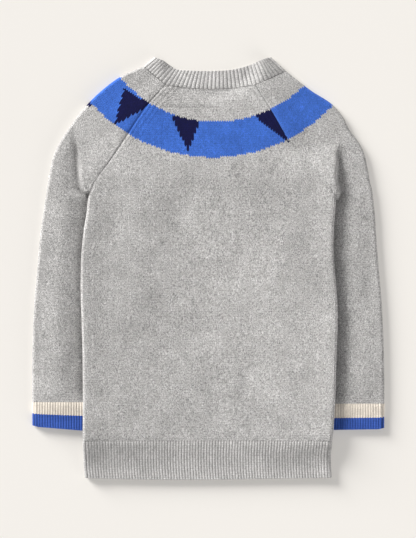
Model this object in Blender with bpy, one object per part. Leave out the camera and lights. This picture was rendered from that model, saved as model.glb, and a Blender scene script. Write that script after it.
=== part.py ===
"""Pullover sweater laid flat with its back up: nine knitted pieces as closed cloth walls.

The sweater lies on z = 0.  +X is to the viewer's right, +Y runs from hem to neck and +Z is up.
Tables and constants are in millimetres; the meshes are built in metres.
"""
import math

import bmesh
import bpy
from mathutils import Vector

MM = 0.001
MIDDLE = (0.05, 221.517)   # middle of the outline, which becomes the origin
WALL = 2.2                 # thickness of the knitted cloth
SEAM = 0.3                 # gap between two sewn pieces
FOLD_R = 2.3               # radius of the middle of the cloth where it folds over
FLOOR = WALL / 2           # height of the middle of cloth that lies on the floor
SLEEVE_TOP = FLOOR + 2 * FOLD_R   # middle of a sleeve's upper layer
LIFT = 7.4                 # how far a tucked sleeve lifts the front panel
EDGE_GAP = 2 * FOLD_R + SEAM      # front to back panel at the folded side edges
CENTRE_GAP = 3.7           # front to back panel in the middle of the body
SIDE_Y = 302.0             # height of the underarms above the hem's lower edge
HEM_TOP = 41.5             # height of the hem seam
NECK_X, NECK_Y = 4.0, 443.0       # centre of the front neck opening's ellipse
NECK_RX, NECK_RY = 61.0, 53.0     # its half width and depth
RIB_RAISE = 0.7            # height of the ribs above the plain cloth
HEM_RIBS = 86
CUFF_RIBS = 26
NECK_RIBS = 36
CUFF_R = 1.8               # fold radius of the tighter cuffs
CUFF_BOTTOM = {-1: 54.5, 1: 53.0}   # lower edge of the left and right cuff
TUCK_TOP, TUCK_TOP_RUN = 362.0, 29.0     # where a tucked sleeve stops lifting the body at the armpit
TUCK_FOOT, TUCK_FOOT_RUN = 10.0, 41.0    # and where it stops again at the hem
FRONT_TUCK, FRONT_TUCK_RUN = 3.0, 14.0   # how the front panel comes down beside a tucked sleeve
BACK_TUCK_RUN = 27.0       # how far inward the back panel takes to come down
EDGE_RUN = 26.0            # how far inward the two panels take to come together
SHOULDER_INSIDE = 40.0     # the most that a point above the underarms counts as inside the edge
SHOULDER_Y, SHOULDER_RUN = 330.0, 40.0   # where the shoulder's fold starts to hold the layers apart
SHOULDER_X, SHOULDER_X_RUN = 35.0, 35.0
NECK_DIP, NECK_DIP_RUN = 0.66, 0.30      # share of the neck's ellipse where the back comes down
NECK_REST = 0.15           # how far above the floor the back's middle rests in the neck
STEP_SPREAD = 1.5          # how much a pleat's edge leans outward
CURL_TAIL = 3.0            # cloth left beyond the curl at the end of a sleeve's lower layer
CURL_LONG, CURL_SHORT = 2.0, 0.3   # that tail's length where the curl is open and closed
PANEL_EDGE = 3.6           # width of a panel's outer columns at the raglans
NECK_BOW_ROWS = 10         # rows over which a panel takes up the neck's curve
NECK_STEPS = 90            # steps in which the neckband's length is measured
NECK_HEADING = 0.06        # share of the neckband over which its heading at a fold is taken
NECK_FOLD_SHARE = 0.12     # share of it that makes room for a fold
NECK_REST_SHARE = 0.15     # share of it that settles to the fold's height

# Half outline of the body: height above the hem, left edge, right edge.
SIDE_EDGES = (
    # y,    left,   right
    (302.0, -125.5, 134.5),
    (281.0, -127.0, 132.5),
    (262.0, -130.0, 131.3),
    (238.0, -132.5, 131.0),
    (200.0, -133.3, 134.0),
    (172.0, -132.5, 135.5),
    (141.0, -131.5, 134.5),
    (83.5, -131.0, 132.7),
    (51.0, -131.0, 132.0),
    (41.5, -130.7, 129.0),
    (27.0, -129.0, 124.7),
    (12.0, -128.5, 128.5),
    (0.0, -127.5, 129.0),
)

# Back raglan seams from neck to underarm, with the front seams that lie below them.
RAGLANS = (
    # left x, left y, right x, right y, front left x, y, front right x, y
    (-44.5, 414.0, 49.5, 414.0, -54.0, 399.0, 62.0, 399.0),
    (-62.0, 394.5, 61.0, 396.0, -70.0, 379.0, 76.0, 377.0),
    (-75.0, 376.0, 72.0, 377.0, -80.0, 364.0, 86.0, 361.0),
    (-86.0, 359.0, 86.0, 354.0, -89.0, 350.0, 97.0, 344.0),
    (-102.0, 335.5, 108.0, 329.0, -101.0, 333.0, 108.0, 327.0),
    (-113.0, 320.0, 122.0, 313.5, -111.0, 318.5, 119.0, 313.5),
    (-119.0, 311.0, 128.0, 306.5, -115.5, 312.0, 123.0, 308.5),
    (-121.0, 305.5, 129.5, 302.5, -118.5, 306.0, 126.5, 303.0),
)

# Sleeves from neck to cuff; a sleeve's own x runs outward from the body's middle line.
# seam: start of the upper layer; fold: outer edge; pleat: how far the armpit pleat's edge
# is from the outer edge (0 where there is none); tuck: inner fold; front: end of the lower layer.
SLEEVE_LEFT = (
    # seam x, y, fold x, y, pleat, tuck x, y, front x, y
    (44.5, 414.0, 68.0, 433.5, 12.0, 54.0, 399.0, 54.0, 399.0),
    (62.0, 394.5, 95.5, 420.5, 12.0, 70.0, 379.0, 70.0, 379.0),
    (75.0, 376.0, 124.0, 396.5, 12.0, 80.0, 364.0, 80.0, 364.0),
    (86.0, 359.0, 147.0, 367.0, 12.0, 89.0, 350.0, 89.0, 350.0),
    (102.0, 335.5, 161.0, 343.0, 26.6, 97.0, 329.0, 101.0, 333.0),
    (113.0, 320.0, 166.5, 322.0, 32.6, 91.0, 316.0, 111.0, 318.5),
    (119.0, 311.0, 169.0, 307.0, 36.6, 87.0, 307.0, 115.5, 312.0),
    (121.0, 305.5, 170.0, 300.0, 39.4, 85.0, 299.0, 118.5, 306.0),
    (124.5, 295.0, 171.2, 292.0, 45.0, 85.5, 291.0, 124.5, 295.0),
    (124.5, 278.0, 173.5, 277.0, 44.0, 88.0, 276.0, 124.5, 278.0),
    (126.0, 255.0, 176.5, 255.0, 44.0, 91.5, 255.0, 126.0, 255.0),
    (127.0, 222.0, 179.5, 220.0, 44.0, 96.0, 218.0, 127.0, 222.0),
    (127.5, 188.0, 182.5, 187.0, 44.0, 99.0, 186.0, 127.5, 188.0),
    (127.5, 153.0, 184.0, 153.0, 44.0, 101.5, 153.0, 127.5, 153.0),
    (127.5, 117.0, 184.7, 117.0, 44.0, 104.0, 117.0, 127.5, 117.0),
    (127.5, 81.6, 184.7, 81.6, 44.0, 106.5, 81.6, 127.5, 81.6),
)
SLEEVE_RIGHT = (
    # seam x, y, fold x, y, pleat, tuck x, y, front x, y
    (49.5, 414.0, 81.5, 428.5, 12.0, 62.0, 399.0, 62.0, 399.0),
    (61.0, 396.0, 107.0, 408.5, 12.0, 76.0, 377.0, 76.0, 377.0),
    (72.0, 377.0, 131.5, 392.0, 12.0, 86.0, 361.0, 86.0, 361.0),
    (86.0, 354.0, 150.0, 368.0, 12.0, 97.0, 344.0, 97.0, 344.0),
    (108.0, 329.0, 162.5, 345.5, 24.6, 104.0, 322.0, 108.0, 327.0),
    (122.0, 313.5, 167.5, 325.0, 30.0, 97.0, 311.0, 119.0, 313.5),
    (128.0, 306.5, 169.8, 312.0, 32.1, 92.0, 303.0, 123.0, 308.5),
    (129.5, 302.5, 172.0, 303.0, 34.4, 88.0, 298.0, 126.5, 303.0),
    (131.5, 292.5, 173.3, 292.0, 38.0, 88.5, 289.0, 131.5, 292.5),
    (129.5, 277.0, 175.0, 276.0, 38.0, 90.0, 275.0, 129.5, 277.0),
    (128.0, 255.0, 176.2, 255.0, 38.0, 93.0, 255.0, 128.0, 255.0),
    (128.0, 222.0, 179.0, 220.0, 38.0, 98.0, 218.0, 128.0, 222.0),
    (129.0, 188.0, 181.8, 187.0, 38.0, 101.0, 186.0, 129.0, 188.0),
    (130.0, 153.0, 183.6, 153.0, 38.0, 103.5, 153.0, 130.0, 153.0),
    (129.0, 117.0, 184.5, 117.0, 38.0, 106.0, 117.0, 129.0, 117.0),
    (128.0, 80.0, 184.8, 80.0, 38.0, 108.0, 80.0, 128.0, 80.0),
)
RAGLAN_PLACES = (0, 0.5, 1, 1.5, 2, 2.5, 3, 3.33, 3.67, 4, 5, 6, 7)   # rows that get points
OPEN_ROWS = 7              # rows of those tables above the underarm, where the sleeve is open

# Neckband: seam and free edge across the back from left fold to right fold.
NECK_BACK = (
    # seam x, free x, free y
    (-68.0, -56.5, 443.0),
    (-60.0, -48.0, 439.5),
    (-52.5, -40.5, 434.5),
    (-44.5, -33.5, 430.5),
    (-32.0, -24.0, 429.3),
    (-2.0, 0.0, 428.5),
    (27.0, 25.0, 430.0),
    (49.5, 44.0, 435.0),
    (64.0, 55.0, 439.5),
    (81.5, 66.0, 443.0),
)
# The front of the neckband underneath, from right fold to left fold.
NECK_FRONT = (
    # seam x, free x, free y
    (81.5, 66.0, 443.0),
    (72.0, 57.0, 424.0),
    (62.0, 46.0, 409.0),
    (38.0, 29.0, 396.5),
    (4.0, 4.0, 389.5),
    (-30.0, -21.0, 396.5),
    (-54.0, -39.0, 409.0),
    (-61.0, -49.0, 424.0),
    (-68.0, -56.5, 443.0),
)
# Neck seam: fold point, raglan point and dip, for the back and for the front below it.
NECK_SEAMS = (
    # left fold x, y, left raglan x, y, right raglan x, y, right fold x, y, dip in the middle
    (-68.0, 433.5, -44.5, 414.0, 49.5, 414.0, 81.5, 428.5, 4.0),
    (-68.0, 433.5, -54.0, 399.0, 62.0, 399.0, 81.5, 428.5, 29.0),
)

COLOURS = {
    "grey_melange": (0.46, 0.45, 0.44),
    "blue": (0.058, 0.150, 0.540),
}


def smooth(t):
    """Rise softly from 0 to 1 while t goes from 0 to 1."""
    t = min(1.0, max(0.0, t))
    return t * t * (3 - 2 * t)


def mix(a, b, t):
    return a + (b - a) * t


def read_row(table, place):
    """Read a table between its rows; place counts rows from 0."""
    last = len(table) - 1
    place = min(float(last), max(0.0, place))
    row = min(int(place), last - 1)
    t = place - row
    before = table[max(row - 1, 0)]
    start = table[row]
    end = table[row + 1]
    after = table[min(row + 2, last)]
    values = []
    for p0, p1, p2, p3 in zip(before, start, end, after):
        bend = t * t * (3 - 2 * t)
        slope = (t ** 3 - 2 * t * t + t) * (p2 - p0) / 2 + (t ** 3 - t * t) * (p3 - p1) / 2
        values.append(mix(p1, p2, bend) + slope)
    return values


def place_at_height(table, y):
    """Find the place in a table whose first column falls from row to row."""
    for row in range(len(table) - 1):
        high = table[row][0]
        low = table[row + 1][0]
        if y >= low:
            return row + (high - y) / (high - low)
    return len(table) - 1


def side_edges(y):
    """Left and right edge of the body at a height."""
    values = read_row(SIDE_EDGES, place_at_height(SIDE_EDGES, y))
    return values[1], values[2]


def tuck_at(x, y):
    """Distance from the middle line to the inner fold of the sleeve under the body."""
    table = SLEEVE_LEFT if x < 0 else SLEEVE_RIGHT
    rows = [(row[6], row[5]) for row in table[4:]]
    return read_row(rows, place_at_height(rows, y))[1]


def tucked(x, y, start, run):
    """1 where a tucked sleeve lies below, falling to 0 over a run toward the middle."""
    top = smooth((TUCK_TOP - y) / TUCK_TOP_RUN)
    bottom = smooth((y - TUCK_FOOT) / TUCK_FOOT_RUN)
    inward = tuck_at(x, y) - start - abs(x)
    return top * bottom * (1.0 - smooth(inward / run))


def front_height(x, y):
    """Middle of the front panel."""
    return FLOOR + LIFT * tucked(x, y, FRONT_TUCK, FRONT_TUCK_RUN)


def back_height(x, y):
    """Middle of the back panel and of the sleeves' upper layer above the pleats."""
    left, right = side_edges(min(y, SIDE_Y))
    inside = min(x - left, right - x)
    if y > SIDE_Y:
        inside = min(inside, SHOULDER_INSIDE)
    edge = 1.0 - smooth(inside / EDGE_RUN)
    shoulder = smooth((y - SHOULDER_Y) / SHOULDER_RUN) * smooth((abs(x) - SHOULDER_X) / SHOULDER_X_RUN)
    gap = mix(CENTRE_GAP, EDGE_GAP, max(edge, shoulder))
    rest = FLOOR + LIFT * tucked(x, y, 0.0, BACK_TUCK_RUN) + gap
    ring = math.hypot((x - NECK_X) / NECK_RX, (y - NECK_Y) / NECK_RY)
    dip = 1.0 - smooth((ring - NECK_DIP) / NECK_DIP_RUN)
    return mix(rest, FLOOR + NECK_REST, dip)


def new_object(name, bm, colour):
    """Turn a bmesh in millimetres into an object in metres, about the sweater's middle."""
    bmesh.ops.translate(bm, vec=(-MIDDLE[0], -MIDDLE[1], 0.0), verts=bm.verts)
    bmesh.ops.scale(bm, vec=(MM, MM, MM), verts=bm.verts)
    mesh = bpy.data.meshes.new(name)
    bm.to_mesh(mesh)
    bm.free()
    mesh.shade_smooth()
    mesh.set_sharp_from_angle(angle=math.radians(50))
    mesh.materials.append(bpy.data.materials[colour])
    obj = bpy.data.objects.new(name, mesh)
    bpy.context.scene.collection.objects.link(obj)
    return obj


def cloth(name, place, columns, rows, raise_by=None, ring=False, shut_row=None,
          before=(), after=(), colour="grey_melange", outward=1.0):
    """Make a closed cloth wall round the surface place(u, v).

    columns and rows list u and v.  ring joins the last column to the first, and
    shut_row does so only from that row on.  raise_by(u, v) lifts outer points.
    The cloth turns sharply after the rows in before and before the rows in after.
    """
    step = 1e-4
    inside = {}
    outside = {}
    for j, v in enumerate(rows):
        for i, u in enumerate(columns):
            point = Vector(place(u, v))
            along = Vector(place(min(u + step, columns[-1]), v)) - Vector(place(max(u - step, columns[0]), v))
            below = v if v in before else min(v + step, rows[-1])
            above = v if v in after else max(v - step, rows[0])
            across = Vector(place(u, below)) - Vector(place(u, above))
            normal = along.cross(across).normalized() * outward
            lift = raise_by(u, v) if raise_by else 0.0
            inside[i, j] = point - normal * (WALL / 2)
            outside[i, j] = point + normal * (WALL / 2 + lift)
    bm = bmesh.new()
    ends = len(columns) - 1

    def key(i, j):
        shut = ring or (shut_row is not None and j >= shut_row)
        return (0, j) if shut and i == ends else (i, j)

    def skin(points):
        verts = {}
        for spot in points:
            if key(*spot) == spot:
                verts[spot] = bm.verts.new(points[spot])
        return verts

    inner = skin(inside)
    outer = skin(outside)
    edges = {}
    for j in range(len(rows) - 1):
        for i in range(ends):
            spots = [key(i, j), key(i + 1, j), key(i + 1, j + 1), key(i, j + 1)]
            loop = []
            for spot in spots:
                if spot not in loop:
                    loop.append(spot)
            bm.faces.new([outer[s] for s in loop])
            bm.faces.new([inner[s] for s in reversed(loop)])
            for a, b in zip(loop, loop[1:] + loop[:1]):
                if (b, a) in edges:
                    del edges[b, a]
                else:
                    edges[a, b] = True
    for a, b in edges:
        bm.faces.new([outer[b], outer[a], inner[a], inner[b]])
    bmesh.ops.recalc_face_normals(bm, faces=bm.faces)
    bmesh.ops.triangulate(bm, faces=bm.faces)
    return new_object(name, bm, colour)


def neck_seam_y(x, under):
    """Height of the neck seam at x, on the back or on the front underneath."""
    fold_l, fold_ly, rag_l, rag_ly, rag_r, rag_ry, fold_r, fold_ry, dip = NECK_SEAMS[under]
    if x < rag_l:
        return mix(rag_ly, fold_ly, (rag_l - x) / (rag_l - fold_l))
    if x > rag_r:
        return mix(rag_ry, fold_ry, (x - rag_r) / (fold_r - rag_r))
    t = (x - rag_l) / (rag_r - rag_l)
    return mix(rag_ly, rag_ry, t) - dip * 4 * t * (1 - t)


def neck_shares(table, under):
    """Share of the neckband's length at even places down one of its tables."""
    spots = []
    for n in range(NECK_STEPS + 1):
        seam_x, free_x, free_y = read_row(table, n / NECK_STEPS * (len(table) - 1))
        spots.append(((seam_x + free_x) / 2, (neck_seam_y(seam_x, under) + free_y) / 2))
    run = [0.0]
    for a, b in zip(spots, spots[1:]):
        run.append(run[-1] + math.dist(a, b))
    return [length / run[-1] for length in run]


NECK_SHARES = (neck_shares(NECK_BACK, 0), neck_shares(NECK_FRONT, 1))


def neck_row(under, t):
    """Row of the neckband's table at a share t of the band's length."""
    table = NECK_FRONT if under else NECK_BACK
    shares = NECK_SHARES[under]
    n = 0
    while n < NECK_STEPS - 1 and shares[n + 1] < t:
        n += 1
    place = n + (t - shares[n]) / (shares[n + 1] - shares[n])
    return read_row(table, place / NECK_STEPS * (len(table) - 1))


def unit(x, y):
    size = math.hypot(x, y)
    return x / size, y / size


def fold_over(edge, arrive, leave, angle, radius):
    """A point on a half-circle fold whose outer side touches the plan point edge."""
    t = angle / math.pi
    dx, dy = unit(mix(arrive[0], leave[0], t), mix(arrive[1], leave[1], t))
    reach = radius * math.sin(angle) - radius - WALL / 2
    return edge[0] + dx * reach, edge[1] + dy * reach, FLOOR + radius * (1 + math.cos(angle))


def step_down(t):
    """Unit shape of a pleat's edge: a bend, a drop and a bend back; returns across, down."""
    bend = FOLD_R * math.pi / 2
    drop = LIFT + SEAM - 2 * FOLD_R
    along = t * (2 * bend + drop)
    if along < bend:
        a = along / FOLD_R
        across, down = FOLD_R * math.sin(a), FOLD_R * (1 - math.cos(a))
    elif along < bend + drop:
        across, down = FOLD_R, FOLD_R + along - bend
    else:
        a = (along - bend - drop) / FOLD_R
        across, down = 2 * FOLD_R - FOLD_R * math.cos(a), FOLD_R + drop + FOLD_R * math.sin(a)
    return across + STEP_SPREAD * t, down / (2 * FOLD_R + drop)


def sleeve_point(table, side, u, v):
    """Middle of a sleeve's cloth: u runs round it from the back seam, v from neck to cuff."""
    ax, ay, sx, sy, pleat, tx, ty, bx, by = read_row(table, v)
    width = math.hypot(sx - ax, sy - ay)
    out = unit(sx - ax, sy - ay)
    length = math.hypot(tx - sx, ty - sy)
    home = unit(tx - sx, ty - sy)
    opened = min(1.0, max(0.0, OPEN_ROWS + 1 - v))
    folded = min(1.0, max(0.0, v - 3.0))
    brow = max(0.6, width - pleat - FOLD_R - WALL / 2)
    brow_x = ax + out[0] * brow
    brow_y = ay + out[1] * brow
    step = (back_height(side * brow_x, brow_y) - SLEEVE_TOP) * opened
    foot = brow + step_down(1.0)[0]
    reach = FOLD_R + WALL / 2
    if u <= 1.0:
        x = mix(ax, brow_x, u)
        y = mix(ay, brow_y, u)
        z = mix(SLEEVE_TOP, back_height(side * x, y), opened)
    elif u <= 2.0:
        across, down = step_down(u - 1.0)
        x = brow_x + out[0] * across
        y = brow_y + out[1] * across
        z = SLEEVE_TOP + step * (1 - down)
    elif u <= 3.0:
        along = mix(foot, width - reach, u - 2.0)
        x = ax + out[0] * along
        y = ay + out[1] * along
        z = SLEEVE_TOP
    elif u <= 4.0:
        x, y, z = fold_over((sx, sy), out, (-home[0], -home[1]), (u - 3.0) * math.pi, FOLD_R)
    else:
        curl = FOLD_R * math.pi
        start = length - mix(curl + CURL_TAIL, reach, folded)
        straight = curl * (1.0 - folded)
        if u <= 5.0:
            along = mix(reach, start, u - 4.0)
            angle = 0.0
        else:
            gone = min(u - 5.0, 1.0) * curl
            angle = max(0.0, gone - straight) / FOLD_R
            along = start + min(gone, straight) + FOLD_R * math.sin(angle)
        z = FLOOR + FOLD_R * (1 - math.cos(angle))
        x = sx + home[0] * along
        y = sy + home[1] * along
        if u > 6.0 and folded < 1.0:
            tail = (u - 6.0) * mix(CURL_LONG, CURL_SHORT, folded)
            x += home[0] * tail * math.cos(angle)
            y += home[1] * tail * math.cos(angle)
            z += tail * math.sin(angle)
        elif u > 6.0:
            x = mix(x, bx, u - 6.0)
            y = mix(y, by, u - 6.0)
    neck_gap = SEAM * max(0.0, 1.0 - v)
    return side * (x + neck_gap), y - neck_gap, z


def spread(counts):
    """Columns over whole numbers: counts[k] steps between k and k + 1."""
    places = [0.0]
    for k, count in enumerate(counts):
        places += [k + (n + 1) / count for n in range(count)]
    return places


def panel_rows():
    """Edges of the body from the hem seam up to the neck: back and front points, and how far each rolls."""
    rows = []
    for y in SIDE_ROWS:
        left, right = side_edges(y)
        rows.append((left, y, right, y, left, y, right, y, 1.0))
    for place in reversed(RAGLAN_PLACES):
        rows.append(read_row(RAGLANS, place) + [0.0])
    return rows


SIDE_ROWS = (HEM_TOP, 62.0, 83.5, 110.0, 141.0, 172.0, 200.0, 230.0, 252.0, 272.0, 290.0)
PANEL_ROWS = panel_rows()


def panel_point(under, u, v):
    """Middle of the back panel, or of the front panel under it."""
    last = len(PANEL_ROWS) - 1
    low = int(v)
    row = [mix(a, b, v - low) for a, b in zip(PANEL_ROWS[low], PANEL_ROWS[min(low + 1, last)])]
    lx, ly, rx, ry = row[4:8] if under else row[0:4]
    roll = row[8]
    inset = mix(SEAM * (1.5 if under else 0.5), FOLD_R + WALL / 2, roll)
    bend = roll * math.pi / 2
    flat_l = lx + inset
    flat_r = rx - inset
    edge = PANEL_EDGE * (1.0 - roll)
    angle = 0.0
    if u < 1.0:
        angle = (1.0 - u) * bend
        x = flat_l - FOLD_R * math.sin(angle) + edge * u
    elif u > 2.0:
        angle = (u - 2.0) * bend
        x = flat_r + FOLD_R * math.sin(angle) - edge * (3.0 - u)
    else:
        x = mix(flat_l + edge, flat_r - edge, u - 1.0)
    t = (x - lx) / (rx - lx)
    y = mix(ly, ry, t)
    bow = smooth((v - last) / NECK_BOW_ROWS + 1.0) ** 1.5
    dip = NECK_SEAMS[under][8]
    y -= dip * 4 * t * (1 - t) * bow
    y -= (SEAM / 2) * max(0.0, v - last + 1.0)
    y += (SEAM / 2) * max(0.0, 1.0 - v)
    drop = FOLD_R * (1 - math.cos(angle))
    if under:
        return x, y, front_height(x, y) + drop
    return x, y, back_height(x, y) - drop


def hem_point(under, u, v):
    """Middle of a hem band; u runs across as on the panels, v from the hem seam down."""
    y = mix(HEM_TOP - SEAM / 2, 0.0, v)
    left, right = side_edges(y)
    inset = FOLD_R + WALL / 2
    angle = 0.0
    if u < 1.0:
        angle = (1.0 - u) * math.pi / 2
        x = left + inset - FOLD_R * math.sin(angle)
    elif u > 2.0:
        angle = (u - 2.0) * math.pi / 2
        x = right - inset + FOLD_R * math.sin(angle)
    else:
        x = mix(left + inset, right - inset, u - 1.0)
    drop = FOLD_R * (1 - math.cos(angle))
    if under:
        return x, y, front_height(x, y) + drop
    return x, y, back_height(x, y) - drop


def cuff_point(table, side, u, v):
    """Middle of a cuff: u runs over the top, round the outer fold, below and round the inner fold."""
    row = table[-1]
    top_y = row[3] - SEAM
    y = mix(top_y, CUFF_BOTTOM[side], v)
    outer = row[2] - 0.3 * v
    inner = row[5]
    reach = CUFF_R + WALL / 2
    low = FLOOR
    high = FLOOR + 2 * CUFF_R
    if u <= 1.0:
        return side * mix(inner + reach, outer - reach, u), y, high
    if u <= 2.0:
        angle = (u - 1.0) * math.pi
        return side * (outer - reach + CUFF_R * math.sin(angle)), y, low + CUFF_R * (1 + math.cos(angle))
    if u <= 3.0:
        return side * mix(outer - reach, inner + reach, u - 2.0), y, low
    angle = (u - 3.0) * math.pi
    return side * (inner + reach - CUFF_R * math.sin(angle)), y, low + CUFF_R * (1 - math.cos(angle))


def neck_point(u, v):
    """Middle of the neckband: u runs round it from the left fold, v from the seam to the free edge."""
    reach = FOLD_R + WALL / 2

    def back(t):
        seam_x, free_x, free_y = neck_row(0, t)
        seam_y = neck_seam_y(seam_x, 0) + SEAM / 2
        return mix(seam_x, free_x, v), mix(seam_y, free_y, v)

    def front(t):
        seam_x, free_x, free_y = neck_row(1, t)
        seam_y = neck_seam_y(seam_x, 1) + SEAM / 2
        return mix(seam_x, free_x, v), mix(seam_y, free_y, v)

    def heading(line, t0, t1):
        a = line(t0)
        b = line(t1)
        return unit(b[0] - a[0], b[1] - a[1])

    near = NECK_HEADING
    if u <= 1.0 or 2.0 <= u <= 3.0:
        line = back if u <= 1.0 else front
        t = u if u <= 1.0 else u - 2.0
        x, y = line(t)
        start = heading(line, 0.0, near)
        end = heading(line, 1.0 - near, 1.0)
        from_start = reach * (1.0 - smooth(t / NECK_FOLD_SHARE))
        from_end = reach * (1.0 - smooth((1.0 - t) / NECK_FOLD_SHARE))
        x += start[0] * from_start - end[0] * from_end
        y += start[1] * from_start - end[1] * from_end
        if u > 1.0:
            return x, y, FLOOR
        ends = 1.0 - smooth(min(t, 1.0 - t) / NECK_REST_SHARE)
        return x, y, mix(back_height(x, y), SLEEVE_TOP, ends)
    if u < 2.0:
        arrive = heading(back, 1.0 - near, 1.0)
        leave = heading(front, near, 0.0)
        return fold_over(back(1.0), arrive, leave, (u - 1.0) * math.pi, FOLD_R)
    arrive = heading(back, near, 0.0)
    leave = heading(front, 1.0 - near, 1.0)
    return fold_over(back(0.0), arrive, leave, (4.0 - u) * math.pi, FOLD_R)


def ribs(count, first, last):
    """Raise every other column of a run of ribs, two columns to a rib."""
    def raise_by(u, v):
        place = (u - first) / (last - first) * count * 2
        if place < -0.01 or place > count * 2 + 0.01:
            return 0.0
        return RIB_RAISE if round(place) % 2 else 0.0
    return raise_by


def clear_scene():
    for obj in list(bpy.data.objects):
        bpy.data.objects.remove(obj, do_unlink=True)


def make_materials():
    for name, colour in COLOURS.items():
        material = bpy.data.materials.new(name)
        material.use_nodes = True
        shader = material.node_tree.nodes["Principled BSDF"]
        shader.inputs["Base Color"].default_value = (*colour, 1.0)
        shader.inputs["Roughness"].default_value = 0.95
        shader.inputs["Metallic"].default_value = 0.0


def build():
    clear_scene()
    make_materials()
    top = len(PANEL_ROWS) - 1
    panel_columns = spread((3, 20, 3))
    panel_v = [float(n) for n in range(top + 1)]
    cloth("back", lambda u, v: panel_point(0, u, v), panel_columns, panel_v)
    cloth("front", lambda u, v: panel_point(1, u, v), panel_columns, panel_v, outward=-1.0)
    hem_columns = spread((3, 2 * HEM_RIBS, 3))
    cloth("hem_back", lambda u, v: hem_point(0, u, v), hem_columns, (0.0, 0.5, 1.0),
          raise_by=ribs(HEM_RIBS, 1.0, 2.0), outward=-1.0)
    cloth("hem_front", lambda u, v: hem_point(1, u, v), spread((3, 24, 3)), (0.0, 0.5, 1.0))
    around = spread((3, 4, 4, 5, 4, 4, 3))
    down = RAGLAN_PLACES + (8, 9, 10, 11, 12, 13, 14, 15)
    for name, table, side in (("left", SLEEVE_LEFT, -1), ("right", SLEEVE_RIGHT, 1)):
        cloth("sleeve_" + name, lambda u, v: sleeve_point(table, side, u, v), around, down,
              shut_row=down.index(OPEN_ROWS + 1), before=(OPEN_ROWS,), after=(4, OPEN_ROWS + 1),
              outward=side)
        cloth("cuff_" + name, lambda u, v: cuff_point(table, side, u, v),
              spread((2 * CUFF_RIBS, 4, 8, 4)), (0.0, 0.5, 1.0), ring=True,
              raise_by=ribs(CUFF_RIBS, 0.0, 1.0), colour="blue", outward=side)
    cloth("neckband", neck_point, spread((2 * NECK_RIBS, 4, 24, 4)), (0.0, 0.5, 1.0), ring=True,
          raise_by=ribs(NECK_RIBS, 0.0, 1.0))


build()
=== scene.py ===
"""Pullover sweater laid flat with its back up: knitted cloth, ribs, seams, camera and light.

Shapes are worked out in millimetres from the hem's lower edge and the sweater's middle line,
then set down in metres round the frame's origin.
"""
import math

import bmesh
import bpy
from bpy.props import FloatProperty, FloatVectorProperty
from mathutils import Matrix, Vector


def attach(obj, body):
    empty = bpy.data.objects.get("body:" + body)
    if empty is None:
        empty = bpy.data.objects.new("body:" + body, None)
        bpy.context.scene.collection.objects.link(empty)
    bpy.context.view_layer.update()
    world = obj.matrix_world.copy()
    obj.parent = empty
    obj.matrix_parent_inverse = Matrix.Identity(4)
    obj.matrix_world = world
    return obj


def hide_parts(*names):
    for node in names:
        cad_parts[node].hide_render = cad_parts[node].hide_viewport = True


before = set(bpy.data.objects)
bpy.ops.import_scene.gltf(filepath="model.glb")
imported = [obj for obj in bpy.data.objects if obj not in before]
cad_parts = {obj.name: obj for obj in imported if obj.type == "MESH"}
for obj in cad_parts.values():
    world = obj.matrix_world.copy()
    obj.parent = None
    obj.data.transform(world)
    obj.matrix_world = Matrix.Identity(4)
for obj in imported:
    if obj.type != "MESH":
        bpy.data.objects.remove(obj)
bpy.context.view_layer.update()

bl_info = {
    "name": "Flat Pullover Sweater",
    "version": (1, 0, 0),
    "blender": (4, 5, 0),
    "location": "View3D > Sidebar > Pullover",
    "description": "Builds a knitted raglan pullover that lies flat with its back up",
    "category": "Object",
}

MM = 0.001
MIDDLE = (0.05, 221.517)   # the frame's origin, from the hem's lower edge and the middle line
WALL = 2.2                 # thickness of the knitted cloth
SEAM = 0.3                 # gap between two sewn pieces
FOLD_R = 2.3               # radius of the middle of the cloth where it folds over
FLOOR = WALL / 2           # height of the middle of cloth that lies on the floor
SLEEVE_TOP = FLOOR + 2 * FOLD_R   # middle of a sleeve's upper layer
FOLD_REACH = FOLD_R + WALL / 2    # from a fold's outer side to the middle of its half circle
LIFT = 7.4                 # how far a tucked sleeve lifts the front panel
EDGE_GAP = 2 * FOLD_R + SEAM      # front to back panel at the folded side edges
CENTRE_GAP = 3.7           # front to back panel in the middle of the body
SIDE_Y = 302.0             # height of the underarms
HEM_TOP = 41.5             # height of the hem seam
PIVOT_Y = 359.0            # where the pleat at the armpit starts
NECK_X, NECK_Y = 4.0, 443.0       # centre of the front neck opening's ellipse
NECK_RX, NECK_RY = 61.0, 53.0     # its half width and depth
CUFF_R = 1.8               # fold radius of the tighter cuffs
CUFF_R_RUN = 0.6           # share of a cuff over which its fold tightens
CUFF_NARROW = 0.3          # how much narrower a cuff is at its lower edge
CUFF_BOTTOM = {-1: 54.5, 1: 53.0}   # height of the left and right cuff's lower edge
CUFF_SLANT = {-1: 3.2, 1: 0.6}      # how steeply that edge rises toward its outer fold
HEM_RIBS = 86
CUFF_RIBS = 26
NECK_RIBS = 36
HEM_ROUND = (1, HEM_RIBS, 1)                  # ribs between whole numbers of u
CUFF_ROUND = (CUFF_RIBS, 2, CUFF_RIBS, 2)
NECK_ROUND = (NECK_RIBS, 2, NECK_RIBS, 2)
OPEN_ROWS = 7              # rows of a sleeve's table above the underarm, where the sleeve is open
OPEN_REST, OPEN_RUN = 0.3, 0.7    # rows that stay open below it, and rows in which it closes
FOLD_ROW = 3.0             # row at which the lower layer's open curl starts to become a fold
SLEEVE_ROWS = 15.0         # last row of a sleeve's table
SIDE_ROWS = 10             # rows of a panel from the hem seam to PANEL_BEND_Y
PANEL_TOP = SIDE_ROWS + 1 + OPEN_ROWS
PANEL_BEND_Y = 290.0       # where a panel's rows start to turn to the raglans
PANEL_EDGE = 3.6           # width of a panel's outer columns at the raglans
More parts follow.
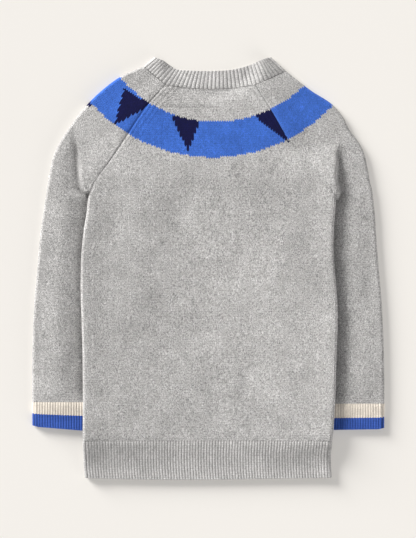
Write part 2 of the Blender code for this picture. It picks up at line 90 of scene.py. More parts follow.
RAGLAN_SLANT, SLEEVE_SLANT = 0.8, 0.9   # distance across a raglan to that along a row: panel, sleeve
TUCK_TOPS, TUCK_TOP_RUNS = (-2.0, -4.0), (44.0, 36.0)    # end of the lift past PIVOT_Y, left and right
TUCK_BLEND = 60.0          # distance from the middle line in which left and right blend
TUCK_FOOT, TUCK_FOOT_RUN = 10.0, 41.0    # where a tucked sleeve stops lifting the body at the hem
FRONT_TUCK, FRONT_TUCK_RUN = 3.0, 14.0   # how the front panel comes down beside a tucked sleeve
BACK_TUCKS = ((0.6, 66.0), (0.4, 400.0))     # shares of the back's fall toward the middle, and their runs
EDGE_RUN = 26.0            # how far inward the two panels take to come together
SHOULDER_INSIDE = 40.0     # the most that a point above the underarms counts as inside the edge
SHOULDER_Y, SHOULDER_RUN = 330.0, 40.0   # where the shoulder's fold starts to hold the layers apart
SHOULDER_X, SHOULDER_X_RUN = 35.0, 35.0
NECK_DIP, NECK_DIP_RUN = 0.66, 0.30      # share of the neck's ellipse where the back comes down
NECK_REST = 0.15           # how far above the floor the back's middle rests in the neck
NECK_BOW_ROWS = 6.5        # rows over which a panel takes up the neck's curve
NECK_STEPS = 90            # steps in which the neckband's length is measured
NECK_HEADING = 0.06        # share of the neckband over which its heading at a fold is taken
NECK_FOLD_SHARE = 0.12     # share of it that makes room for a fold
NECK_REST_SHARE = 0.15     # share of it that settles to the fold's height
STEP_SPREAD = 3.0          # how much a pleat's edge leans outward
PLEAT_FOOT = 6.0           # from a pleat's edge to the start of the flat cloth at its foot
BROW_LEAST = 0.6           # least width of the cloth above a pleat
CURL_TAIL = 3.0            # cloth left beyond the curl at the end of a sleeve's lower layer
CURL_LONG, CURL_SHORT = 2.0, 0.3   # that tail's length where the curl is open and closed

# Half outline of the body: height above the hem, left edge, right edge.
SIDE_EDGES = (
    # y,    left,   right
    (302, -125.5, 134.5),
    (281, -127, 132.5),
    (262, -130, 131.3),
    (238, -132.5, 131),
    (200, -133.3, 134),
    (172, -132.5, 135.5),
    (141, -131.5, 134.5),
    (83.5, -131, 132.7),
    (51, -131.2, 130.9),
    (41.5, -131, 129.6),
    (27, -130.5, 128.1),
    (12, -130.1, 128.3),
    (0, -129, 129),
)

# Sleeves from neck to cuff; a sleeve's own x runs outward from the body's middle line.
# seam: start of the upper layer; fold: outer edge; pleat: how far the armpit pleat's edge
# is from the outer edge (0 where there is none); tuck: inner fold; front: end of the lower layer.
SLEEVE_LEFT = (
    # seam x, y, fold x, y, pleat, tuck x, y, front x, y
    (44.5, 414, 68, 433.5, 12, 54, 399, 54, 399),
    (62, 394.5, 95.5, 420.5, 12, 70, 379, 70, 379),
    (75, 376, 124, 396.5, 12, 80, 364, 80, 364),
    (86, 359, 147, 367, 12, 89, 350, 89, 350),
    (102, 335.5, 161, 343, 26.6, 97, 329, 101, 333),
    (113, 320, 166.5, 322, 32.6, 91, 316, 111, 318.5),
    (119, 311, 169, 307, 36.6, 87, 307, 115.5, 312),
    (121, 305.5, 170, 300, 39.4, 85, 299, 118.5, 306),
    (124.5, 295, 171.2, 292, 45, 85.5, 291, 124.5, 295),
    (124.5, 278, 173.5, 277, 44, 88, 276, 124.5, 278),
    (126, 255, 176.5, 255, 44, 91.5, 255, 126, 255),
    (127, 222, 179.5, 220, 44, 96, 218, 127, 222),
    (127.5, 188, 182.5, 187, 44, 99, 186, 127.5, 188),
    (127.5, 153, 184, 153, 44, 101.5, 153, 127.5, 153),
    (127.5, 117, 184.7, 117, 44, 104, 117, 127.5, 117),
    (127.5, 81.6, 184.7, 81.6, 44, 106.5, 81.6, 127.5, 81.6),
)
SLEEVE_RIGHT = (
    # seam x, y, fold x, y, pleat, tuck x, y, front x, y
    (49.5, 414, 81.5, 428.5, 12, 62, 399, 62, 399),
    (61, 396, 107, 408.5, 12, 76, 377, 76, 377),
    (72, 377, 131.5, 392, 12, 86, 361, 86, 361),
    (86, 354, 150, 368, 8.5, 97, 344, 97, 344),
    (108, 329, 162.5, 345.5, 24.6, 104, 322, 108, 327),
    (122, 313.5, 167.5, 325, 30, 97, 311, 119, 313.5),
    (128, 306.5, 169.8, 312, 32.1, 92, 303, 123, 308.5),
    (129.5, 302.5, 172, 303, 34.4, 88, 298, 126.5, 303),
    (131.5, 292.5, 173.3, 292, 38, 88.5, 289, 131.5, 292.5),
    (129.5, 277, 175, 276, 38, 90, 275, 129.5, 277),
    (128, 255, 176.2, 255, 38, 93, 255, 128, 255),
    (128, 222, 179, 220, 38, 98, 218, 128, 222),
    (129, 188, 181.8, 187, 38, 101, 186, 129, 188),
    (130, 153, 183.6, 153, 38, 103.5, 153, 130, 153),
    (129, 117, 184.5, 117, 38, 106, 117, 129, 117),
    (128, 80, 184.8, 80, 38, 108, 80, 128, 80),
)

# Raglan seams from neck to underarm: back left x, y, back right x, y, then the front seams' four.
RAGLANS = tuple((-left[0], left[1], right[0], right[1], -left[7], left[8], right[7], right[8])
                for left, right in zip(SLEEVE_LEFT[:OPEN_ROWS + 1], SLEEVE_RIGHT))

# Neckband: seam and free edge across the back from left fold to right fold.
NECK_BACK = (
    # seam x, free x, free y
    (-68, -56.5, 443),
    (-60, -48, 439.5),
    (-52.5, -40.5, 434.5),
    (-44.5, -33.5, 430.5),
    (-32, -24, 429.3),
    (-2, 0, 428.5),
    (27, 25, 430),
    (49.5, 44, 435),
    (64, 55, 439.5),
    (81.5, 66, 443),
)
# The front of the neckband underneath, from right fold to left fold.
NECK_FRONT = (
    # seam x, free x, free y
    (81.5, 66, 443),
    (72, 57, 424),
    (62, 46, 409),
    (38, 29, 396.5),
    (4, 4, 389.5),
    (-30, -21, 396.5),
    (-54, -39, 409),
    (-61, -49, 424),
    (-68, -56.5, 443),
)
# Neck seam: fold point, raglan point and dip, for the back and for the front below it.
NECK_SEAMS = (
    # left fold x, y, left raglan x, y, right raglan x, y, right fold x, y, dip in the middle
    (-68, 433.5, -44.5, 414, 49.5, 414, 81.5, 428.5, 4),
    (-68, 433.5, -54, 399, 62, 399, 81.5, 428.5, 29),
)


def smooth(t):
    """Rise softly from 0 to 1 while t goes from 0 to 1."""
    t = min(1.0, max(0.0, t))
    return t * t * (3 - 2 * t)


def mix(a, b, t):
    """Blend from a to b."""
    return a + (b - a) * t


def read_row(table, place):
    """Read a table between its rows; place counts rows from 0."""
    last = len(table) - 1
    place = min(float(last), max(0.0, place))
    row = min(int(place), last - 1)
    t = place - row
    before = table[max(row - 1, 0)]
    start = table[row]
    end = table[row + 1]
    after = table[min(row + 2, last)]
    values = []
    for p0, p1, p2, p3 in zip(before, start, end, after):
        bend = t * t * (3 - 2 * t)
        slope = (t ** 3 - 2 * t * t + t) * (p2 - p0) / 2 + (t ** 3 - t * t) * (p3 - p1) / 2
        values.append(mix(p1, p2, bend) + slope)
    return values


def place_at_height(table, y):
    """Find the place in a table whose first column falls from row to row."""
    for row in range(len(table) - 1):
        high = table[row][0]
        low = table[row + 1][0]
        if y >= low:
            return row + (high - y) / (high - low)
    return len(table) - 1


def side_edges(y):
    """Left and right edge of the body at a height."""
    values = read_row(SIDE_EDGES, place_at_height(SIDE_EDGES, y))
    return values[1], values[2]


def tuck_at(x, y):
    """Distance from the middle line to the inner fold of the sleeve under the body."""
    table = SLEEVE_LEFT if x < 0 else SLEEVE_RIGHT
    rows = [(row[6], row[5]) for row in table[4:]]
    return read_row(rows, place_at_height(rows, y))[1]


def tucked(x, y, start, run):
    """1 where a tucked sleeve lies below, falling to 0 over a run toward the middle."""
    side = smooth((x + TUCK_BLEND) / (2 * TUCK_BLEND))
    top = smooth((PIVOT_Y + mix(*TUCK_TOPS, side) - y) / mix(*TUCK_TOP_RUNS, side))
    bottom = smooth((y - TUCK_FOOT) / TUCK_FOOT_RUN)
    inward = tuck_at(x, y) - start - abs(x)
    return top * bottom * (1.0 - smooth(inward / run))


def neck_ring(x, y):
    """Distance from the neck opening's centre, in sizes of its ellipse."""
    return math.hypot((x - NECK_X) / NECK_RX, (y - NECK_Y) / NECK_RY)


def front_height(x, y):
    """Middle of the front panel."""
    return FLOOR + LIFT * tucked(x, y, FRONT_TUCK, FRONT_TUCK_RUN)


def back_height(x, y):
    """Middle of the back panel and of the sleeves' upper layer above the pleats."""
    left, right = side_edges(min(y, SIDE_Y))
    inside = min(x - left, right - x)
    if y > SIDE_Y:
        inside = min(inside, SHOULDER_INSIDE)
    edge = 1.0 - smooth(inside / EDGE_RUN)
    shoulder = smooth((y - SHOULDER_Y) / SHOULDER_RUN) * smooth((abs(x) - SHOULDER_X) / SHOULDER_X_RUN)
    gap = mix(CENTRE_GAP, EDGE_GAP, max(edge, shoulder))
    held = sum(share * tucked(x, y, 0.0, run) for share, run in BACK_TUCKS)
    rest = FLOOR + LIFT * held + gap
    dip = 1.0 - smooth((neck_ring(x, y) - NECK_DIP) / NECK_DIP_RUN)
    return mix(rest, FLOOR + NECK_REST, dip)


def neck_seam_y(x, under):
    """Height of the neck seam at x, on the back or on the front underneath."""
    fold_l, fold_ly, rag_l, rag_ly, rag_r, rag_ry, fold_r, fold_ry, dip = NECK_SEAMS[under]
    if x < rag_l:
        return mix(rag_ly, fold_ly, (rag_l - x) / (rag_l - fold_l))
    if x > rag_r:
        return mix(rag_ry, fold_ry, (x - rag_r) / (fold_r - rag_r))
    t = (x - rag_l) / (rag_r - rag_l)
    return mix(rag_ly, rag_ry, t) - dip * 4 * t * (1 - t)


def neck_shares(table, under):
    """Share of the neckband's length at even places down one of its tables."""
    run = [0.0]
    spots = []
    for n in range(NECK_STEPS + 1):
        seam_x, free_x, free_y = read_row(table, n / NECK_STEPS * (len(table) - 1))
        spots.append(((seam_x + free_x) / 2, (neck_seam_y(seam_x, under) + free_y) / 2))
    for a, b in zip(spots, spots[1:]):
        run.append(run[-1] + math.dist(a, b))
    return [length / run[-1] for length in run]


def neck_row(under, t):
    """Row of the neckband's table at a share t of the band's length."""
    table = NECK_FRONT if under else NECK_BACK
    shares = NECK_SHARES[under]
    n = 0
    while n < NECK_STEPS - 1 and shares[n + 1] < t:
        n += 1
    place = n + (t - shares[n]) / (shares[n + 1] - shares[n])
    return read_row(table, place / NECK_STEPS * (len(table) - 1))


NECK_SHARES = (neck_shares(NECK_BACK, 0), neck_shares(NECK_FRONT, 1))


def unit(x, y):
    """A plan direction with length 1."""
    size = math.hypot(x, y)
    return x / size, y / size


def fold_over(edge, arrive, leave, angle, radius):
    """A point on a half-circle fold whose outer side touches the plan point edge."""
    t = angle / math.pi
    dx, dy = unit(mix(arrive[0], leave[0], t), mix(arrive[1], leave[1], t))
    reach = radius * math.sin(angle) - radius - WALL / 2
    return edge[0] + dx * reach, edge[1] + dy * reach, FLOOR + radius * (1 + math.cos(angle))


def step_down(t):
    """Unit shape of a pleat's edge: a bend, a drop and a bend back; returns across, down."""
    bend = FOLD_R * math.pi / 2
    drop = LIFT + SEAM - 2 * FOLD_R
    along = t * (2 * bend + drop)
    if along < bend:
        a = along / FOLD_R
        across, down = FOLD_R * math.sin(a), FOLD_R * (1 - math.cos(a))
    elif along < bend + drop:
        across, down = FOLD_R, FOLD_R + along - bend
    else:
        a = (along - bend - drop) / FOLD_R
        across, down = 2 * FOLD_R - FOLD_R * math.cos(a), FOLD_R + drop + FOLD_R * math.sin(a)
    return across + STEP_SPREAD * t, mix(down / (2 * FOLD_R + drop), smooth(t), 0.5)


def openness(v):
    """1 where a sleeve is sewn open to the body, 0 where it is a closed tube."""
    return 1.0 - smooth((v - OPEN_ROWS - OPEN_REST) / OPEN_RUN)


def sleeve_point(table, side, u, v):
    """Middle of a sleeve's cloth: u runs round it from the back seam, v from neck to cuff."""
    ax, ay, sx, sy, pleat, tx, ty, bx, by = read_row(table, v)
    width = math.hypot(sx - ax, sy - ay)
    out = unit(sx - ax, sy - ay)
    length = math.hypot(tx - sx, ty - sy)
    home = unit(tx - sx, ty - sy)
    opened = openness(v)
    folded = min(1.0, max(0.0, v - FOLD_ROW))
    brow = max(BROW_LEAST, width - pleat - FOLD_R - WALL / 2)
    brow_x = ax + out[0] * brow
    brow_y = ay + out[1] * brow
    step = (back_height(side * brow_x, brow_y) - SLEEVE_TOP) * opened
    foot = brow + step_down(1.0)[0]
    if u <= 1.0:
        x = mix(ax, brow_x, u)
        y = mix(ay, brow_y, u)
        z = mix(SLEEVE_TOP, back_height(side * x, y), opened)
    elif u <= 2.0:
        across, down = step_down(u - 1.0)
        x = brow_x + out[0] * across
        y = brow_y + out[1] * across
        z = SLEEVE_TOP + step * (1 - down)
    elif u <= 3.0:
        along = mix(foot, width - FOLD_REACH, u - 2.0)
        x = ax + out[0] * along
        y = ay + out[1] * along
        z = SLEEVE_TOP
    elif u <= 4.0:
        x, y, z = fold_over((sx, sy), out, (-home[0], -home[1]), (u - 3.0) * math.pi, FOLD_R)
    else:
        curl = FOLD_R * math.pi
        start = length - mix(curl + CURL_TAIL, FOLD_REACH, folded)
        straight = curl * (1.0 - folded)
        if u <= 5.0:
            along = mix(FOLD_REACH, start, u - 4.0)
            angle = 0.0
        else:
            gone = min(u - 5.0, 1.0) * curl
            angle = max(0.0, gone - straight) / FOLD_R
            along = start + min(gone, straight) + FOLD_R * math.sin(angle)
        z = FLOOR + FOLD_R * (1 - math.cos(angle))
        x = sx + home[0] * along
        y = sy + home[1] * along
        if u > 6.0 and folded < 1.0:
            tail = (u - 6.0) * mix(CURL_LONG, CURL_SHORT, folded)
            x += home[0] * tail * math.cos(angle)
            y += home[1] * tail * math.cos(angle)
            z += tail * math.sin(angle)
        elif u > 6.0:
            x = mix(x, bx, u - 6.0)
            y = mix(y, by, u - 6.0)
    neck_gap = SEAM * max(0.0, 1.0 - v)
    return side * (x + neck_gap), y - neck_gap, z


def hem_point(under, u, v):
    """Middle of a hem band; u runs across as on the panels, v from the hem seam down."""
    y = mix(HEM_TOP, 0.0, v)
    left, right = side_edges(y)
    angle = 0.0
    if u < 1.0:
        angle = (1.0 - u) * math.pi / 2
        x = left + FOLD_REACH - FOLD_R * math.sin(angle)
    elif u > 2.0:
        angle = (u - 2.0) * math.pi / 2
        x = right - FOLD_REACH + FOLD_R * math.sin(angle)
    else:
        x = mix(left + FOLD_REACH, right - FOLD_REACH, u - 1.0)
    drop = FOLD_R * (1 - math.cos(angle))
    if under:
        return x, y, front_height(x, y) + drop
    return x, y, back_height(x, y) - drop


def cuff_point(table, side, u, v):
    """Middle of a cuff: u runs over the top, round the outer fold, below and round the inner fold."""
    row = table[-1]
    y = mix(row[3], CUFF_BOTTOM[side], v)
    outer = row[2] - CUFF_NARROW * v
    inner = row[5]
    radius = mix(FOLD_R, CUFF_R, smooth(v / CUFF_R_RUN))
    reach = radius + WALL / 2
    if u <= 1.0:
        return side * mix(inner + reach, outer - reach, u), y, FLOOR + 2 * radius
    if u <= 2.0:
        angle = (u - 1.0) * math.pi
        return side * (outer - reach + radius * math.sin(angle)), y, FLOOR + radius * (1 + math.cos(angle))
    if u <= 3.0:
        return side * mix(outer - reach, inner + reach, u - 2.0), y, FLOOR
    angle = (u - 3.0) * math.pi
    return side * (inner + reach - radius * math.sin(angle)), y, FLOOR + radius * (1 - math.cos(angle))


def neck_line(under, t, v):
    """Plan point of the neckband at a share t of its back or front, and v from seam to free edge."""
    seam_x, free_x, free_y = neck_row(under, t)
    seam_y = neck_seam_y(seam_x, under) + SEAM / 2
    return mix(seam_x, free_x, v), mix(seam_y, free_y, v)


def neck_heading(under, t0, t1, v):
    """Direction in which the neckband runs from one share of its length to another."""
    a = neck_line(under, t0, v)
    b = neck_line(under, t1, v)
    return unit(b[0] - a[0], b[1] - a[1])


def neck_point(u, v):
    """Middle of the neckband: u runs round it from the left fold, v from the seam to the free edge."""
    near = NECK_HEADING
    if u <= 1.0 or 2.0 <= u <= 3.0:
        under = 0 if u <= 1.0 else 1
        t = u if u <= 1.0 else u - 2.0
        x, y = neck_line(under, t, v)
        start = neck_heading(under, 0.0, near, v)
        end = neck_heading(under, 1.0 - near, 1.0, v)
        from_start = FOLD_REACH * (1.0 - smooth(t / NECK_FOLD_SHARE))
        from_end = FOLD_REACH * (1.0 - smooth((1.0 - t) / NECK_FOLD_SHARE))
        x += start[0] * from_start - end[0] * from_end
        y += start[1] * from_start - end[1] * from_end
        if u > 1.0:
            return x, y, FLOOR
        ends = max(1.0 - smooth(t / NECK_REST_SHARE), 1.0 - smooth((1.0 - t) / NECK_REST_SHARE))
        return x, y, mix(back_height(x, y), SLEEVE_TOP, ends)
    if u < 2.0:
        arrive = neck_heading(0, 1.0 - near, 1.0, v)
        leave = neck_heading(1, near, 0.0, v)
        return fold_over(neck_line(0, 1.0, v), arrive, leave, (u - 1.0) * math.pi, FOLD_R)
    arrive = neck_heading(0, near, 0.0, v)
    leave = neck_heading(1, 1.0 - near, 1.0, v)
    return fold_over(neck_line(0, 0.0, v), arrive, leave, (4.0 - u) * math.pi, FOLD_R)


# Soft folds of the body and sleeves as they lie.
SOFT_FOLDS = (
    # x, y, length, width, turn in degrees, height
    (-8, 156, 62, 12, 15, -1),
    (20, 176, 60, 16, 14, 0.6),
    (73, 289, 42, 20, 50, -0.9),
    (-98, 268, 40, 12, 80, -0.8),
    (-28, 280, 38, 15, 68, -0.8),
    (-52, 300, 34, 14, 60, 0.7),
    (41, 317, 42, 20, 50, 0.9),
    (-20, 110, 26, 14, 50, 0.8),
    (-45, 72, 26, 14, 74, 0.8),
    (4, 72, 24, 9, 86, -0.8),
    (28, 108, 32, 7, 84, 0.7),
    (39, 104, 30, 7, 80, -0.6),
    (70, 90, 34, 14, 100, 0.7),
    (96, 150, 46, 14, 96, -0.7),
    (60, 230, 50, 18, 60, 0.6),
    (-70, 200, 60, 16, 96, 0.7),
    (-90, 120, 50, 13, 86, -0.6),
    (-156, 262, 30, 8, 110, 0.7),
    (-150, 232, 34, 8, 104, -0.6),
    (-162, 160, 40, 9, 96, 0.6),
    (-148, 110, 34, 8, 84, -0.5),
    (158, 250, 34, 8, 76, 0.6),
    (166, 190, 40, 9, 84, -0.6),
    (160, 120, 40, 9, 92, 0.6),
    (-104, 368, 24, 8, 40, -0.6),
    (112, 362, 26, 8, 135, -0.6),
    (-118, 330, 20, 6, 60, 0.6),
)
# The knitted-in yoke band lies between two circles.
BAND_INNER = (8.0, 506.0, 131.6)      # x, y of the middle, radius
BAND_OUTER = (5.0, 509.0, 172.0)
# Triangles hang from the band's inner edge: two corners and the tip, each x, y.
TRIANGLES_BACK = (
    (-38.8, 380.8, -7.8, 377, -21, 342.9),
    (48.5, 380, 68, 392, 84.8, 352.3),
)
TRIANGLES_LEFT = (
    (-88.5, 410, -60, 392, -99, 370.6),
    (-140, 402, -122.5, 396.5, -124, 388.5),
)
TRIANGLES_RIGHT = (
    (152, 404, 132, 396, 146, 384),
)
TRIANGLES_FRONT = (
    (-66, 392, -38, 380, -66, 352),
    (-12, 377, 16, 375, 2, 340),
    (50, 380, 74, 394, 82, 354),
)
CUFF_SPLIT = 15.4          # height of the cream part of a cuff
GROOVE = 0.5               # how deep the cloth dips at a sewn seam
GROOVE_RUN = 2.4           # how far from the seam the dip reaches
SOFT_DIP = 0.3             # share of that dip at the hem seam, which is softer
SEAM_CALM, NECK_CALM = 12.0, 25.0   # distance from a raglan and the neck where soft folds are full
SIDE_SWELL = 0.7           # how far the body stands up along its sides
SWELL_FOOT, SWELL_FOOT_RUN, SWELL_TOP_RUN = 20.0, 50.0, 70.0    # where that starts and ends
ARMPIT_SWELL = 0.8         # how far the body bulges sideways at the underarms
YOKE_RISE = 2.6            # how far the yoke rises between the neck and the band
YOKE_RINGS = (0.62, 0.9, 1.5, 1.3)  # start, run, end and run of that rise, in neck ellipses
SLEEVE_CROWN = 1.2         # how far a sleeve is rounded beyond its crease
SLEEVE_SINK = 2.4          # how far it sinks beside the body
SINKS = ((0.5, 4.0, 30.0), (0.5, 3.0, 11.0))    # shares of the sinking, their shifts and runs
SINK_START, SINK_RUN = {-1: 11.0, 1: 17.0}, 12.0    # width of the pleat at which it starts; its run
# The pressed crease across the yoke.
CREASE_Y, CREASE_LEFT, CREASE_RIGHT = 390.6, -56.0, 26.0
CREASE_SLOPE, CREASE_WIDTH, CREASE_DEPTH = 0.004, 1.3, 0.45
# Ridges of fashioned stitches beside the raglans.
FASHION_PITCH, FASHION_RUN, FASHION_RAISE = 4.6, 15.0, 0.16
FASHION_Y, FASHION_Y_RUN = 335.0, 25.0

# Painted shade where little light reaches the wool: share of the brightness taken away.
CREASE_SHADE = {-1: 0.42, 1: 0.16}  # in the crease between the body and its left and right sleeve
PLEAT_REACH, TUBE_REACH = 5.0, 8.0  # how far from the crease that reaches, on the pleat and below it
NECK_SEAM_SHADE, NECK_SEAM_REACH = 0.42, 1.3
RAGLAN_SHADE, RAGLAN_REACH = 0.32, 1.2      # along the upper right raglan
RAGLAN_SHADE_Y = 372.0
YOKE_CREASE_SHADE = 0.16
NECK_FOLD_SHADE = 0.24     # painted shade that tones down the light on the neckband's right fold
SHADE_PATCHES = (
    # x, y, reach, share of painted shade in a broad darker patch on the back
    (56, 303, 38, 0.14),
    (-110, 200, 30, 0.07),
    (118, 214, 26, 0.07),
    (0, 90, 40, 0.05),
)
# Where the right sleeve is drawn in toward the body.
DRAWS = (
    # x, y, width, height, amount
    (142, 345, 11, 16, 5.2),
    (142, 318, 11, 14, 5.2),
    (153, 368, 12, 11, 2.4),
)

# Brightness left in the grooves between stitches or ribs: painted shade.
STITCH_SHADE, NECK_SHADE, HEM_SHADE, CREAM_SHADE, BLUE_SHADE = 0.62, 0.52, 0.34, 0.86, 0.12
NECK_YARN, HEM_YARN = 0.97, 0.90    # brightness of the trims' grey beside the body's
CUFF_TEETH = 0.7           # how far the blue reaches up along each rib, in courses
STITCH_DEPTH = 0.0009      # height of the stitches' bump in metres
RIB_SWAY, STITCH_SWAY = 0.14, 0.3   # how much a leg's height and brightness change down a course
# Noise in the yarn: patches to a metre, and detail.
CLOUD, MOTTLE, FIBRE, FLECK_DETAIL = (48.0, 4.0), (270.0, 2.0), (1300.0, 2.0), 1.5
MOTTLE_DEPTH = 0.42        # how much the mottled patches vary in brightness

PHOTO_ROWS = 538           # height of the photograph's frame
PHOTO_PIXEL = 1.05         # millimetres to one of its pixels
CAMERA_HEIGHT = 2.4
FILM = 24.0                # height of the camera's film in millimetres
LIGHTS = (
    # name, place, degrees across, power
    ("soft key", (-1.25, 1.05, 0.56), 28.0, 6.0),
    ("low side light", (1.0, -0.85, 0.23), 40.0, 1.7),
)
FILL = 0.31                # strength of the light from all round
PAPER_GLOW = 0.262         # light table under the pale paper


def soft_folds(x, y):
    """Height of the soft troughs and ridges at a point."""
    total = 0.0
    for fold_x, fold_y, length, width, turn, height in SOFT_FOLDS:
        dx = x - fold_x
        dy = y - fold_y
        if abs(dx) > 2.2 * length or abs(dy) > 2.2 * length:
            continue
        angle = math.radians(turn)
        along = dx * math.cos(angle) + dy * math.sin(angle)
        across = -dx * math.sin(angle) + dy * math.cos(angle)
        across += 0.08 * along * math.sin(along / length * 2.0)
        total += height * math.exp(-(along / length) ** 2 * 2.0 - (across / width) ** 2)
    return total


def yoke_crease(x, y):
    """1 along the pressed crease across the yoke."""
    line = math.exp(-((y - CREASE_Y + CREASE_SLOPE * x) / CREASE_WIDTH) ** 2)
    return line * smooth((x - CREASE_LEFT) / 12.0) * smooth((CREASE_RIGHT - x) / 25.0)


def yoke_marks(x, y, seam):
    """A pressed crease across the yoke, and narrow ridges of fashioned stitches beside a raglan."""
    ridge = math.sin(2 * math.pi * seam / FASHION_PITCH)
    ridge = ridge * smooth(seam / 3.0) * smooth((FASHION_RUN - seam) / 6.0)
    ridge *= smooth((y - FASHION_Y) / FASHION_Y_RUN)
    return -CREASE_DEPTH * yoke_crease(x, y) + FASHION_RAISE * ridge


def body_swell(x, y):
    """The body is highest along its sides, over the sleeves, and falls softly toward the middle."""
    left, right = side_edges(min(y, SIDE_Y))
    fade = smooth((y - SWELL_FOOT) / SWELL_FOOT_RUN) * smooth((PIVOT_Y - y) / SWELL_TOP_RUN)
    inside = x - left if x < 0 else right - x
    return fade * SIDE_SWELL * (1.0 - 1.7 * smooth(inside / 30.0) + 0.7 * smooth((inside - 40.0) / 50.0))


def yoke_rise(x, y):
    """The yoke rises from the neck seam and settles again below the band."""
    ring = neck_ring(x, y)
    start, run, end, end_run = YOKE_RINGS
    return YOKE_RISE * smooth((ring - start) / run) * (1.0 - smooth((ring - end) / end_run))


def past_side(side, x, y):
    """How far outside the body's edge a point of a sleeve lies."""
    left, right = side_edges(min(y, SIDE_Y))
    return left - x if side < 0 else x - right


def crease_shade(table, side, u, v):
    """Painted shade on the sleeve: how much darker it is painted in the crease beside the body and at the
    pleat's foot.
    """
    if u > 3.0 or v >= SLEEVE_ROWS:
        return 0.0
    x, y = sleeve_point(table, side, u, v)[:2]
    pleat = read_row(table, v)[4]
    opened = openness(v)
    beyond = (u - 2.0) * (max(0.0, pleat - PLEAT_FOOT) if u > 2.0 else 7.6)
    away = mix(past_side(side, x, y), beyond, opened)
    start = mix(SINK_START[side], 0.0, 1.0 - opened)
    reach = mix(TUBE_REACH, PLEAT_REACH, opened)
    deep = smooth((pleat - start) / SINK_RUN)
    return CREASE_SHADE[side] * deep * math.exp(-((away + 1.5) / reach) ** 2)


def sleeve_relief(table, side, u, v):
    """Height that the sleeve's upper layer gains or loses: sunk beside the body, rounded beyond it."""
    x, y = sleeve_point(table, side, u, v)[:2]
    opened = openness(v)
    pleat = read_row(table, v)[4]
    beyond = (u - 2.0) * max(0.0, pleat - PLEAT_FOOT)
    away = mix(past_side(side, x, y), beyond, opened)
    free = min(1.0, max(1.0 - opened, u - 1.0))
    sink = sum(share * (1.0 - smooth((away + shift) / run)) for share, shift, run in SINKS)
    crown = smooth((away - 6.0) / 18.0) * (1.0 - smooth((u - 2.4) / 0.6))
    deep = smooth((pleat - SINK_START[side]) / SINK_RUN)
    return (SLEEVE_CROWN * crown - SLEEVE_SINK * sink) * free * deep * smooth((SLEEVE_ROWS - v) / 0.4)


def sleeve_lift(table, side, u, v):
    """All that the knitted sleeve adds to the plain sleeve's height over its upper layer."""
    x, y = sleeve_point(table, side, u, v)[:2]
    seam = read_row(table, v)
    opened = openness(v)
    from_seam = math.hypot(abs(x) - seam[0], y - seam[1])
    neck = math.dist((x, y), (NECK_X, NECK_Y)) - 60.0
    calm = smooth((3.0 - u) / 0.3) * smooth(neck / NECK_CALM) * smooth(v) * smooth((SLEEVE_ROWS - v) / 0.4)
    calm *= smooth(from_seam / SEAM_CALM + 1.0 - opened)
    lift = sleeve_relief(table, side, u, v) + soft_folds(x, y) * calm
    if v < OPEN_ROWS:
        lift += yoke_marks(x, y, from_seam * SLEEVE_SLANT) * (1.0 - smooth(u)) * smooth(neck / 8.0)
    if u <= 1.0:
        lift += (yoke_rise(x, y) * (1.0 - smooth(u)) - seam_dip(from_seam * SLEEVE_SLANT)) * opened
    return lift


def knit_sleeve_point(table, side, u, v):
    """Middle of the knitted sleeve: the plain sleeve with its crown, seam dip and soft folds."""
    x, y, z = sleeve_point(table, side, u, v)
    if u <= 2.0:
        level = 1.0 - smooth((v - 2.0) / 1.5)
        start = sleeve_point(table, side, 0.0, v)[2]
        z = mix(z, mix(start, SLEEVE_TOP, smooth(u / 2.0)), level)
    if u <= 3.0:
        return x, y, z + sleeve_lift(table, side, u, v)
    if u > 6.0 and v >= OPEN_ROWS:
        return x, y, z + sleeve_lift(table, side, 0.0, v) * (u - 6.0) * (1.0 - openness(v))
    return x, y, z


def seam_dip(distance):
    """How far the cloth dips beside a seam."""
    return GROOVE * (1.0 - smooth(distance / GROOVE_RUN))


def drawn_in(x, y):
    """How far the cloth of the right sleeve is drawn in toward the body at a point."""
    total = 0.0
    for place_x, place_y, width, height, amount in DRAWS:
        total -= amount * math.exp(-((x - place_x) / width) ** 2 - ((y - place_y) / height) ** 2)
    return total


def in_frame(point):
    """A point in millimetres as a place in the frame, in metres."""
    x, y, z = point
    x += drawn_in(x, y)
    return Vector(((x - MIDDLE[0]) * MM, (y - MIDDLE[1]) * MM, z * MM))


def panel_edges(v):
    """Back and front edge points of the body at v, and how far its sides roll."""
    if v <= SIDE_ROWS:
        y = mix(HEM_TOP, PANEL_BEND_Y, v / SIDE_ROWS)
        left, right = side_edges(y)
        return [left, y, right, y, left, y, right, y, 1.0]
    if v < SIDE_ROWS + 1:
        low = panel_edges(SIDE_ROWS)
        high = read_row(RAGLANS, OPEN_ROWS) + [0.0]
        row = [mix(a, b, v - SIDE_ROWS) for a, b in zip(low, high)]
        swell = ARMPIT_SWELL * math.sin(math.pi * (v - SIDE_ROWS) ** 0.8) ** 1.5
        row[0] -= swell
        row[2] += swell
        row[8] = 1.0 - smooth((v - SIDE_ROWS - 0.35) / 0.35)
        return row
    return read_row(RAGLANS, SIDE_ROWS + 1 + OPEN_ROWS - v) + [0.0]


